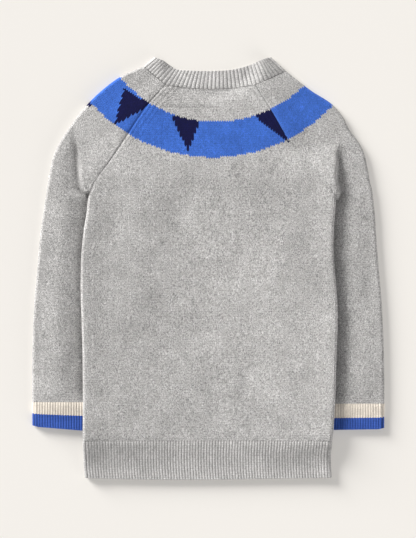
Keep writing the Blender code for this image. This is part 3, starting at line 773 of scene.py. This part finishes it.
def panel_point(under, u, v):
    """Middle of the back panel, or of the front panel under it."""
    row = panel_edges(v)
    lx, ly, rx, ry = row[4:8] if under else row[0:4]
    roll = row[8]
    inset = mix(SEAM * (1.5 if under else 0.5), FOLD_REACH, roll)
    bend = roll * math.pi / 2
    edge = PANEL_EDGE * (1.0 - roll)
    angle = 0.0
    if u < 1.0:
        angle = (1.0 - u) * bend
        x = lx + inset - FOLD_R * math.sin(angle) + edge * u
    elif u > 2.0:
        angle = (u - 2.0) * bend
        x = rx - inset + FOLD_R * math.sin(angle) - edge * (3.0 - u)
    else:
        x = mix(lx + inset + edge, rx - inset - edge, u - 1.0)
    t = (x - lx) / (rx - lx)
    y = mix(ly, ry, t)
    bow = smooth((v - PANEL_TOP + NECK_BOW_ROWS) / NECK_BOW_ROWS) ** 1.5
    y -= NECK_SEAMS[under][8] * 4 * t * (1 - t) * bow
    y -= (SEAM / 2) * max(0.0, v - PANEL_TOP + 1.0)
    drop = FOLD_R * (1 - math.cos(angle))
    if under:
        return x, y, front_height(x, y) + drop
    inside = min(x - lx, rx - x)
    raglan = inside * RAGLAN_SLANT + 10.0 * roll
    neck = neck_seam_y(x, 0) - y
    dip = max(seam_dip(raglan), seam_dip(neck), SOFT_DIP * seam_dip(y - HEM_TOP))
    calm = smooth(inside / SEAM_CALM) * smooth(neck / NECK_CALM)
    ease = smooth((back_height(x, y) - front_height(x, y) - WALL) / 1.2)
    swell = body_swell(x, y) * smooth(neck / NECK_CALM) + yoke_rise(x, y)
    if not roll:
        swell += yoke_marks(x, y, inside * RAGLAN_SLANT)
    return x, y, back_height(x, y) - drop - dip * ease + swell + soft_folds(x, y) * calm


def panel_shade(under, u, v):
    """How much darker the back is painted: painted shade in broad patches, along two seams and in the yoke's
    crease.
    """
    if under:
        return 0.0
    x, y = panel_point(under, u, v)[:2]
    patch_shade = 0.0
    for place_x, place_y, reach, amount in SHADE_PATCHES:
        patch_shade += amount * math.exp(-((x - place_x) ** 2 + (y - place_y) ** 2) / reach ** 2)
    if v < SIDE_ROWS + 1:
        return patch_shade
    neck = neck_seam_y(x, 0) - y
    raglan = (panel_edges(v)[2] - x) * RAGLAN_SLANT
    seam = NECK_SEAM_SHADE * math.exp(-(neck / NECK_SEAM_REACH) ** 2)
    shade = patch_shade + seam + YOKE_CREASE_SHADE * yoke_crease(x, y)
    side = RAGLAN_SHADE * math.exp(-(raglan / RAGLAN_REACH) ** 2) * smooth((y - RAGLAN_SHADE_Y) / 10.0)
    return min(0.5, shade + side)


def label_grid(bm, columns, rows):
    """Find each vertex's column and row in a fresh grid that spans -1 to 1."""
    spots = {}
    for vert in bm.verts:
        i = round((vert.co.x + 1.0) / 2.0 * (columns - 1))
        j = round((vert.co.y + 1.0) / 2.0 * (rows - 1))
        spots[vert] = (i, j)
    return spots


def stitch_runs(points, home):
    """Lengths along each row of points from its home column, and down the home column."""
    across = []
    for line in points:
        run = [0.0]
        for a, b in zip(line, line[1:]):
            run.append(run[-1] + math.dist(a, b))
        across.append([value - run[home] for value in run])
    down = [0.0]
    for line, following in zip(points, points[1:]):
        down.append(down[-1] + math.dist(line[home], following[home]))
    return across, down


def count_stitches(bm, spots, points, columns, reference, plan, ribs):
    """Write each corner's place, counted in stitches or ribs and in courses, to the UV map knit."""
    home = min(range(len(columns)), key=lambda i: abs(columns[i] - reference))
    across, down = stitch_runs(points, home)
    sizes = bpy.context.scene.pullover
    layer = bm.loops.layers.uv.new("knit")
    for face in bm.faces:
        for loop in face.loops:
            i, j = spots[loop.vert]
            if ribs:
                loop[layer].uv = (rib_place(ribs, columns[i]), down[j] / sizes.course)
            elif plan:
                loop[layer].uv = (points[j][i][0] / sizes.wale, points[j][i][1] / sizes.course)
            else:
                loop[layer].uv = (across[j][i] / sizes.wale, down[j] / sizes.course)


def knit_piece(name, place, columns, rows, material, reference=0.0, plan=False, ribs=(), shade=None):
    """Knit one piece: a fine grid moved onto place(u, v), with its stitches counted in a UV map.

    reference is the column the stitches are counted from.  plan counts them straight
    across and down instead, and ribs gives the ribs between whole numbers of u.
    shade(u, v) gives the painted shade: how much darker the wool is painted deep in a crease.
    """
    bm = bmesh.new()
    bmesh.ops.create_grid(bm, x_segments=len(columns) - 1, y_segments=len(rows) - 1, size=1.0)
    # The crease layer holds painted shade for each vertex.
    depth = bm.verts.layers.float.new("crease")
    spots = label_grid(bm, len(columns), len(rows))
    points = [[place(u, v) for u in columns] for v in rows]
    for vert, (i, j) in spots.items():
        vert.co = in_frame(points[j][i])
        if shade:
            vert[depth] = shade(columns[i], rows[j])
    count_stitches(bm, spots, points, columns, reference, plan, ribs)
    bmesh.ops.remove_doubles(bm, verts=bm.verts, dist=1e-6)
    bmesh.ops.recalc_face_normals(bm, faces=bm.faces)
    area = sum(face.calc_area() for face in bm.faces)
    mesh = bpy.data.meshes.new(name)
    bm.to_mesh(mesh)
    bm.free()
    mesh.shade_smooth()
    mesh.materials.append(material)
    obj = bpy.data.objects.new(name, mesh)
    bpy.context.scene.collection.objects.link(obj)
    wall = obj.modifiers.new("Cloth wall", "SOLIDIFY")
    wall.thickness = WALL * MM
    wall.offset = 0.0
    return obj, area


def settle(obj, area, node, flat):
    """Put a finished piece on the frame in place of its plain solid."""
    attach(obj, "root")
    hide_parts(node)
    min(area, flat[0] * flat[1])


def lines(count, reach, edge):
    """Evenly spaced rows from 0 to reach, with a very narrow one at each end to keep the edges crisp."""
    return [0.0, edge] + [reach * n / count for n in range(1, count)] + [reach - edge, reach]


def spread(counts):
    """Columns over whole numbers: counts[k] steps between k and k + 1."""
    places = [0.0]
    for k, count in enumerate(counts):
        places += [k + (n + 1) / count for n in range(count)]
    return places


class Graph:
    """A few shorthands for a material's nodes."""

    def __init__(self, name):
        self.material = bpy.data.materials.new(name)
        self.material.use_nodes = True
        self.tree = self.material.node_tree
        self.shader = self.tree.nodes["Principled BSDF"]

    def surface(self, values):
        """Set the shader's own sockets by name."""
        for name, value in values.items():
            self.shader.inputs[name].default_value = value

    def node(self, kind, **settings):
        """Add a node of a kind, with its settings."""
        made = self.tree.nodes.new(kind)
        for key, value in settings.items():
            setattr(made, key, value)
        return made

    def feed(self, target, value):
        """Link an output to an input, or set the input to a plain value."""
        if isinstance(value, bpy.types.NodeSocket):
            self.tree.links.new(value, target)
        else:
            target.default_value = value

    def fed(self, made, values):
        """A node with its inputs fed in order."""
        for socket, value in zip(made.inputs, values):
            self.feed(socket, value)
        return made

    def math(self, operation, *values):
        """The result of a sum on numbers."""
        return self.fed(self.node("ShaderNodeMath", operation=operation), values).outputs[0]

    def vector(self, operation, *values):
        """The result of a sum on vectors."""
        made = self.fed(self.node("ShaderNodeVectorMath", operation=operation), values)
        return made.outputs["Value" if operation in ("DOT_PRODUCT", "DISTANCE") else "Vector"]

    def where(self):
        """A point's place on the object."""
        return self.node("ShaderNodeTexCoord").outputs["Object"]

    def split(self, vector):
        """The three parts of a vector."""
        return self.fed(self.node("ShaderNodeSeparateXYZ"), (vector,)).outputs

    def turned(self, vector, angle):
        """A vector turned about the vertical."""
        made = self.node("ShaderNodeVectorRotate", rotation_type="Z_AXIS")
        self.feed(made.inputs["Vector"], vector)
        made.inputs["Angle"].default_value = angle
        return made.outputs[0]

    def noise(self, where, scale, detail, roughness=0.5):
        """Soft noise with a number of patches to a metre."""
        made = self.node("ShaderNodeTexNoise")
        made.inputs["Scale"].default_value = scale
        made.inputs["Detail"].default_value = detail
        made.inputs["Roughness"].default_value = roughness
        self.feed(made.inputs["Vector"], where)
        return made.outputs["Fac"]

    def blend(self, factor, first, second, kind="MIX"):
        """Two colours mixed, or multiplied."""
        made = self.node("ShaderNodeMix", data_type="RGBA", blend_type=kind)
        self.feed(made.inputs["Factor"], factor)
        self.feed(made.inputs[6], first)
        self.feed(made.inputs[7], second)
        return made.outputs[2]

    def knit_place(self):
        """Distance from the middle of a stitch or rib, its share across, and the courses down."""
        parts = self.split(self.node("ShaderNodeUVMap", uv_map="knit").outputs[0])
        across = self.math("FRACT", parts[0])
        from_middle = self.math("ABSOLUTE", self.math("MULTIPLY_ADD", across, 2.0, -1.0))
        return from_middle, across, parts[1]


def colour(value):
    """A colour with its alpha."""
    return (value[0], value[1], value[2], 1.0)


def cell_centre(graph, turn):
    """Plan position of the middle of the stitch a point is in, for wales turned by an angle."""
    sizes = bpy.context.scene.pullover
    pitch = (sizes.wale * MM, sizes.course * MM, 1.0)
    parts = graph.split(graph.turned(graph.where(), -turn))
    across = graph.math("FRACT", graph.math("DIVIDE", parts[0], pitch[0]))
    legs = graph.math("ABSOLUTE", graph.math("MULTIPLY_ADD", across, 2.0, -1.0))
    raised = graph.math("MULTIPLY_ADD", legs, -0.9 * pitch[1], parts[1])
    joined = graph.fed(graph.node("ShaderNodeCombineXYZ"), (parts[0], raised))
    snapped = graph.vector("SNAP", joined.outputs[0], pitch)
    centred = graph.vector("ADD", snapped, (pitch[0] / 2, pitch[1] / 2, 0.0))
    return graph.turned(graph.vector("MULTIPLY", centred, (1.0, 1.0, 0.0)), turn)


def inside_circle(graph, cell, circle):
    """1 where a stitch is inside a circle given by its middle and radius."""
    x, y, radius = circle
    middle = ((x - MIDDLE[0]) * MM, (y - MIDDLE[1]) * MM, 0.0)
    away = graph.vector("DISTANCE", cell, middle)
    return graph.math("LESS_THAN", away, radius * MM)


def inside_triangle(graph, cell, corners):
    """1 where a stitch is inside a triangle given by three corners."""
    spots = [((corners[k] - MIDDLE[0]) * MM, (corners[k + 1] - MIDDLE[1]) * MM) for k in (0, 2, 4)]
    centre = (sum(p[0] for p in spots) / 3, sum(p[1] for p in spots) / 3)
    result = 1.0
    for (ax, ay), (bx, by) in zip(spots, spots[1:] + spots[:1]):
        nx, ny = by - ay, ax - bx
        if (centre[0] - ax) * nx + (centre[1] - ay) * ny < 0:
            nx, ny = -nx, -ny
        side = graph.vector("DOT_PRODUCT", cell, (nx, ny, 0.0))
        side = graph.math("GREATER_THAN", side, ax * nx + ay * ny)
        result = side if result == 1.0 else graph.math("MULTIPLY", result, side)
    return result


def melange(graph, base, depth):
    """Flecks of lighter and darker fibre over a yarn colour."""
    where = graph.where()
    size = bpy.context.scene.pullover.fleck * MM
    fleck = graph.noise(graph.vector("MULTIPLY", where, (1.0, 0.75, 1.0)), 1.0 / size, FLECK_DETAIL, 0.7)
    fine = graph.math("MULTIPLY", graph.math("SUBTRACT", fleck, 0.5), depth)
    fine = graph.math("MULTIPLY_ADD", fine, 4.0, 1.0)
    mottle = graph.noise(graph.vector("MULTIPLY", where, (1.0, 0.6, 1.0)), *MOTTLE)
    broad = graph.math("MULTIPLY_ADD", graph.noise(where, *CLOUD), 0.5, 0.75)
    patchy = graph.math("MULTIPLY_ADD", mottle, MOTTLE_DEPTH, 1.0 - MOTTLE_DEPTH / 2)
    broad = graph.math("MULTIPLY", broad, patchy)
    return graph.blend(1.0, base, graph.math("MULTIPLY", fine, broad), "MULTIPLY")


def stitches(graph, yarn, ribbed, low):
    """Raise the two legs of each knitted stitch, paint shade into the grooves between them, and ruffle the
    fibre.
    """
    from_middle, across, courses = graph.knit_place()
    if ribbed:
        leg = graph.math("SUBTRACT", 1.0, graph.math("POWER", from_middle, 2.2))
    else:
        leg = graph.math("ABSOLUTE", graph.math("SINE", graph.math("MULTIPLY", across, 2 * math.pi)))
        leg = graph.math("POWER", leg, 0.6)
    slant = graph.math("MULTIPLY_ADD", from_middle, 0.5, courses)
    strand = graph.math("SINE", graph.math("MULTIPLY", slant, 2 * math.pi))
    sway = RIB_SWAY if ribbed else STITCH_SWAY
    strand = graph.math("MULTIPLY_ADD", strand, sway, 1.0 - sway)
    height = graph.math("MULTIPLY", leg, strand)
    # Painted shade in the grooves between legs or ribs.
    contrast = graph.math("SUBTRACT", 1.0, low)
    hollow_shade = graph.math("MULTIPLY_ADD", graph.math("SUBTRACT", height, 1.0), contrast, 1.0)
    shaded = graph.blend(1.0, yarn, hollow_shade, "MULTIPLY")
    height = graph.math("MULTIPLY_ADD", graph.noise(graph.where(), *FIBRE), 1.2, height)
    bump = graph.node("ShaderNodeBump")
    bump.inputs["Strength"].default_value = bpy.context.scene.pullover.stitch_relief
    bump.inputs["Distance"].default_value = STITCH_DEPTH
    graph.feed(bump.inputs["Height"], height)
    graph.feed(graph.shader.inputs["Normal"], bump.outputs[0])
    return shaded


def finish_wool(graph, shade):
    """Paint shade into the wool deep in its creases, from the crease attribute, and give it its dull, faintly
    downy surface.
    """
    # The crease attribute holds the painted shade that darkens the colour.
    crease = graph.node("ShaderNodeAttribute", attribute_name="crease").outputs["Fac"]
    deep = graph.blend(1.0, shade, graph.math("SUBTRACT", 1.0, crease), "MULTIPLY")
    graph.feed(graph.shader.inputs["Base Color"], deep)
    graph.surface({"Roughness": 0.92, "Specular IOR Level": 0.08,
                   "Sheen Weight": 0.08, "Sheen Roughness": 0.6})
    return graph.material


def knit_material(name, grey, triangles, turn):
    """Plain knit with the yoke band and its triangles knitted in."""
    sizes = bpy.context.scene.pullover
    graph = Graph(name)
    cell = cell_centre(graph, turn)
    past_inner = graph.math("SUBTRACT", 1.0, inside_circle(graph, cell, BAND_INNER))
    band = graph.math("MULTIPLY", past_inner, inside_circle(graph, cell, BAND_OUTER))
    yarn = graph.blend(band, colour(grey), colour(sizes.blue))
    spots = None
    for corners in triangles:
        spot = inside_triangle(graph, cell, corners)
        spots = spot if spots is None else graph.math("MAXIMUM", spots, spot)
    spots = graph.math("MULTIPLY", spots, past_inner)
    yarn = graph.blend(spots, yarn, colour(sizes.navy))
    depth = graph.math("MULTIPLY_ADD", band, sizes.fleck_blue - sizes.fleck_grey, sizes.fleck_grey)
    shade = stitches(graph, melange(graph, yarn, depth), False, STITCH_SHADE)
    return finish_wool(graph, shade)


def rib_material(name, upper, low, lower=None):
    """Ribbed knit in one colour, or in two with the change a set way down the cuff."""
    sizes = bpy.context.scene.pullover
    graph = Graph(name)
    yarn = colour(upper)
    if lower is not None:
        from_middle, _, courses = graph.knit_place()
        course = graph.math("MULTIPLY_ADD", from_middle, -CUFF_TEETH, courses)
        below = graph.math("GREATER_THAN", course, (CUFF_SPLIT - 0.6) / sizes.course)
        yarn = graph.blend(below, colour(upper), colour(lower))
        low = graph.math("MULTIPLY_ADD", below, BLUE_SHADE - low, low)
    shade = melange(graph, yarn, 0.6 * sizes.fleck_grey if lower is None else 0.5 * sizes.fleck_blue)
    shade = stitches(graph, shade, True, low)
    return finish_wool(graph, shade)


def rib_place(ribs, u):
    """Ribs counted round a band up to u."""
    whole = min(int(u), len(ribs) - 1)
    return sum(ribs[:whole]) + (u - whole) * ribs[whole]


def rib_start(v, run, least):
    """Share of its height that a rib has at v, as it rises from its seam."""
    return mix(least, 1.0, smooth(v / run))


def rib_height(place, relief):
    """Height of a rib at a place counted in ribs: a round ridge beside a narrow groove."""
    return relief * abs(math.sin(math.pi * place)) ** 0.7


class PulloverSizes(bpy.types.PropertyGroup):
    """Sizes in millimetres and yarn colours of the pullover."""
    wale: FloatProperty(
        name="Stitch width", description="Width of one knitted stitch in mm", default=2.5, min=0.5)
    course: FloatProperty(
        name="Stitch height", description="Height of one knitted stitch in mm", default=1.85, min=0.5)
    fleck: FloatProperty(
        name="Fleck size", description="Size of the melange flecks in mm", default=1.15, min=0.2)
    fleck_grey: FloatProperty(
        name="Grey melange", description="Contrast of the grey yarn's flecks", default=0.60, min=0.0, max=1.0)
    fleck_blue: FloatProperty(
        name="Dyed fleck", description="Contrast of the dyed yarns' flecks", default=0.30, min=0.0, max=1.0)
    stitch_relief: FloatProperty(
        name="Stitch relief", description="Strength of the raised stitches", default=0.6, min=0.0, max=1.0)
    neck_relief: FloatProperty(
        name="Neck rib relief", description="Height of the neckband's ribs in mm", default=0.68, min=0.0)
    hem_relief: FloatProperty(
        name="Hem rib relief", description="Height of the hem's ribs in mm", default=0.95, min=0.0)
    cuff_relief: FloatProperty(
        name="Cuff rib relief", description="Height of the cuffs' ribs in mm", default=0.75, min=0.0)
    grey: FloatVectorProperty(
        name="Grey yarn", description="Colour of the melange yarn", subtype="COLOR", size=3,
        default=(0.618, 0.610, 0.608), min=0.0, max=1.0)
    blue: FloatVectorProperty(
        name="Blue yarn", description="Colour of the yoke band", subtype="COLOR", size=3,
        default=(0.066, 0.200, 0.772), min=0.0, max=1.0)
    navy: FloatVectorProperty(
        name="Navy yarn", description="Colour of the triangles", subtype="COLOR", size=3,
        default=(0.004, 0.005, 0.062), min=0.0, max=1.0)
    cream: FloatVectorProperty(
        name="Cream yarn", description="Colour of the upper cuff", subtype="COLOR", size=3,
        default=(0.780, 0.715, 0.635), min=0.0, max=1.0)
    cuff_blue: FloatVectorProperty(
        name="Cuff blue yarn", description="Colour of the lower cuff", subtype="COLOR", size=3,
        default=(0.052, 0.130, 0.530), min=0.0, max=1.0)


class PULLOVER_OT_body(bpy.types.Operator):
    """Knit the back and front panels"""
    bl_idname = "pullover.body"
    bl_label = "Knit Body"

    def execute(self, context):
        sizes = context.scene.pullover
        columns = spread((8, 110, 8))
        rows = lines(200, PANEL_TOP, 0.01)
        for under, name, triangles in ((0, "back", TRIANGLES_BACK), (1, "front", TRIANGLES_FRONT)):
            material = knit_material("Grey knit " + name, sizes.grey, triangles, 0.0)
            obj, area = knit_piece(name + "_knit", lambda u, v: panel_point(under, u, v), columns, rows,
                                   material, plan=True, shade=lambda u, v: panel_shade(under, u, v))
            settle(obj, area, name, (0.29, 0.39))
        return {"FINISHED"}


class PULLOVER_OT_sleeves(bpy.types.Operator):
    """Knit the two raglan sleeves"""
    bl_idname = "pullover.sleeves"
    bl_label = "Knit Sleeves"

    def execute(self, context):
        sizes = context.scene.pullover
        columns = spread((14, 14, 22, 8, 30, 8, 14))
        rows = lines(210, SLEEVE_ROWS, 0.01)
        sides = (
            # name, table, side, triangles, turn of the wales
            ("left", SLEEVE_LEFT, -1, TRIANGLES_LEFT, -0.6),
            ("right", SLEEVE_RIGHT, 1, TRIANGLES_RIGHT, 0.5),
        )
        for name, table, side, triangles, turn in sides:
            material = knit_material("Grey knit sleeve " + name, sizes.grey, triangles, turn)
            obj, area = knit_piece("sleeve_" + name + "_knit",
                                   lambda u, v: knit_sleeve_point(table, side, u, v),
                                   columns, rows, material, reference=3.0,
                                   shade=lambda u, v: crease_shade(table, side, u, v))
            settle(obj, area, "sleeve_" + name, (0.22, 0.42))
        return {"FINISHED"}


class PULLOVER_OT_neckband(bpy.types.Operator):
    """Knit the ribbed neckband"""
    bl_idname = "pullover.neckband"
    bl_label = "Knit Neckband"

    def execute(self, context):
        sizes = context.scene.pullover

        def place(u, v):
            x, y, z = neck_point(u, v)
            ends = mix(0.3, 1.0, smooth(v / 0.12) * smooth((1.0 - v) / 0.05))
            if u <= 1.0:
                z += (rib_height(u * NECK_RIBS, sizes.neck_relief) - 0.2) * ends
            return x, y, z

        # Painted shade that dims the neckband's right fold where the light falls on it.
        def fold_shade(u, v):
            return NECK_FOLD_SHADE * smooth((u - 0.8) / 0.15) if u <= 1.0 else 0.0

        material = rib_material("Grey rib neckband", tuple(NECK_YARN * c for c in sizes.grey), NECK_SHADE)
        columns = spread((NECK_RIBS * 8, 12, 80, 12))
        obj, area = knit_piece("neckband_rib", place, columns, lines(14, 1.0, 0.01), material,
                               ribs=NECK_ROUND, shade=fold_shade)
        settle(obj, area, "neckband", (0.42, 0.025))
        return {"FINISHED"}


class PULLOVER_OT_hems(bpy.types.Operator):
    """Knit the ribbed hem, back and front"""
    bl_idname = "pullover.hems"
    bl_label = "Knit Hems"

    def execute(self, context):
        sizes = context.scene.pullover

        def back(u, v):
            x, y, z = hem_point(0, u, v)
            rib = rib_height(rib_place(HEM_ROUND, u), sizes.hem_relief) * rib_start(v, 0.08, 0.2)
            turn = (max(u, 2.0) - 2.0 - max(1.0 - u, 0.0)) * math.pi / 2
            z += rib * math.cos(turn) - seam_dip(v * HEM_TOP) * SOFT_DIP
            return x + rib * math.sin(turn), y + hem_wave(x) * v, z

        def front(u, v):
            x, y, z = hem_point(1, u, v)
            return x, y + hem_wave(x) * v, z

        material = rib_material("Grey rib hem", tuple(HEM_YARN * c for c in sizes.grey), HEM_SHADE)
        rows = lines(16, 1.0, 0.006)
        obj, area = knit_piece("hem_back_rib", back, spread((8, HEM_RIBS * 7, 8)), rows, material,
                               ribs=HEM_ROUND)
        settle(obj, area, "hem_back", (0.30, 0.045))
        obj, area = knit_piece("hem_front_rib", front, spread((5, 120, 5)), rows, material,
                               ribs=HEM_ROUND)
        settle(obj, area, "hem_front", (0.30, 0.045))
        return {"FINISHED"}


def hem_wave(x):
    """How far the hem's lower edge stands above its lowest point."""
    return 0.6 + 2.0 * (x / 130.0) ** 2 + 0.4 * math.sin((x + 10.0) / 46.0)


def cuff_slant(table, side, away):
    """How far a cuff's lower edge stands above its mean height: it rises toward its outer fold."""
    inner, outer = table[-1][5], table[-1][2]
    share = (away - inner) / (outer - inner)
    return CUFF_SLANT[side] * (share - 0.75) * 2.0 + 1.2 * smooth((share - 0.9) / 0.1)


class PULLOVER_OT_cuffs(bpy.types.Operator):
    """Knit the two striped cuffs"""
    bl_idname = "pullover.cuffs"
    bl_label = "Knit Cuffs"

    def execute(self, context):
        sizes = context.scene.pullover
        material = rib_material("Striped rib cuffs", sizes.cream, CREAM_SHADE, sizes.cuff_blue)
        for name, table, side in (("left", SLEEVE_LEFT, -1), ("right", SLEEVE_RIGHT, 1)):
            def place(u, v):
                x, y, z = cuff_point(table, side, u, v)
                y += cuff_slant(table, side, abs(x)) * v
                if u <= 1.0:
                    z += rib_height(u * CUFF_RIBS, sizes.cuff_relief) * rib_start(v, 0.1, 0.25)
                return x, y, z

            obj, area = knit_piece("cuff_" + name + "_rib", place, spread((CUFF_RIBS * 7, 8, 60, 8)),
                                   lines(14, 1.0, 0.008), material, ribs=CUFF_ROUND)
            settle(obj, area, "cuff_" + name, (0.18, 0.032))
        return {"FINISHED"}


class PULLOVER_OT_stage(bpy.types.Operator):
    """Set up the pale floor, the soft light and the camera above"""
    bl_idname = "pullover.stage"
    bl_label = "Set Stage"

    def execute(self, context):
        scene = context.scene
        bm = bmesh.new()
        bmesh.ops.create_grid(bm, x_segments=1, y_segments=1, size=3.0)
        mesh = bpy.data.meshes.new("floor")
        bm.to_mesh(mesh)
        bm.free()
        floor = bpy.data.objects.new("floor", mesh)
        scene.collection.objects.link(floor)
        paper = Graph("Pale paper")
        paper.surface({"Base Color": (0.618, 0.600, 0.573, 1.0), "Emission Color": (1.0, 0.97, 0.93, 1.0),
                       "Emission Strength": PAPER_GLOW, "Roughness": 0.9})
        mesh.materials.append(paper.material)

        for name, place, spread_of_light, power in LIGHTS:
            lamp = bpy.data.lights.new(name, "SUN")
            lamp.angle = math.radians(spread_of_light)
            lamp.energy = power
            lamp.color = (1.0, 0.985, 0.96)
            light = bpy.data.objects.new(name, lamp)
            light.location = place
            light.rotation_euler = (-Vector(place)).to_track_quat("-Z", "Y").to_euler()
            scene.collection.objects.link(light)

        world = bpy.data.worlds.new("studio")
        world.use_nodes = True
        sky = world.node_tree.nodes["Background"].inputs
        sky["Color"].default_value = (1.0, 0.99, 0.985, 1.0)
        sky["Strength"].default_value = FILL
        scene.world = world
        scene.view_settings.view_transform = "Standard"

        lens = bpy.data.cameras.new("overhead")
        lens.sensor_fit = "VERTICAL"
        lens.sensor_height = FILM
        lens.lens = FILM * CAMERA_HEIGHT / (PHOTO_ROWS * PHOTO_PIXEL * MM)
        lens.clip_end = 20.0
        camera = bpy.data.objects.new("overhead", lens)
        camera.location = (-0.0003, -0.0005, CAMERA_HEIGHT)
        scene.collection.objects.link(camera)
        scene.camera = camera
        return {"FINISHED"}


class PULLOVER_PT_panel(bpy.types.Panel):
    """Sizes, colours and steps of the pullover"""
    bl_label = "Pullover"
    bl_space_type = "VIEW_3D"
    bl_region_type = "UI"
    bl_category = "Pullover"

    def draw(self, context):
        for key in PulloverSizes.__annotations__:
            self.layout.prop(context.scene.pullover, key)
        for step in STEPS:
            self.layout.operator(step.bl_idname)


STEPS = (PULLOVER_OT_stage, PULLOVER_OT_body, PULLOVER_OT_sleeves, PULLOVER_OT_neckband,
         PULLOVER_OT_hems, PULLOVER_OT_cuffs)
CLASSES = (PulloverSizes, *STEPS, PULLOVER_PT_panel)


def register():
    """Make the classes and the scene's sizes known."""
    for item in CLASSES:
        bpy.utils.register_class(item)
    bpy.types.Scene.pullover = bpy.props.PointerProperty(type=PulloverSizes)


def unregister():
    """Take them away again."""
    del bpy.types.Scene.pullover
    for item in reversed(CLASSES):
        bpy.utils.unregister_class(item)


def main():
    """Build the pullover."""
    register()
    bpy.ops.pullover.stage()
    bpy.ops.pullover.body()
    bpy.ops.pullover.sleeves()
    bpy.ops.pullover.neckband()
    bpy.ops.pullover.hems()
    bpy.ops.pullover.cuffs()


if __name__ == "__main__":
    main()
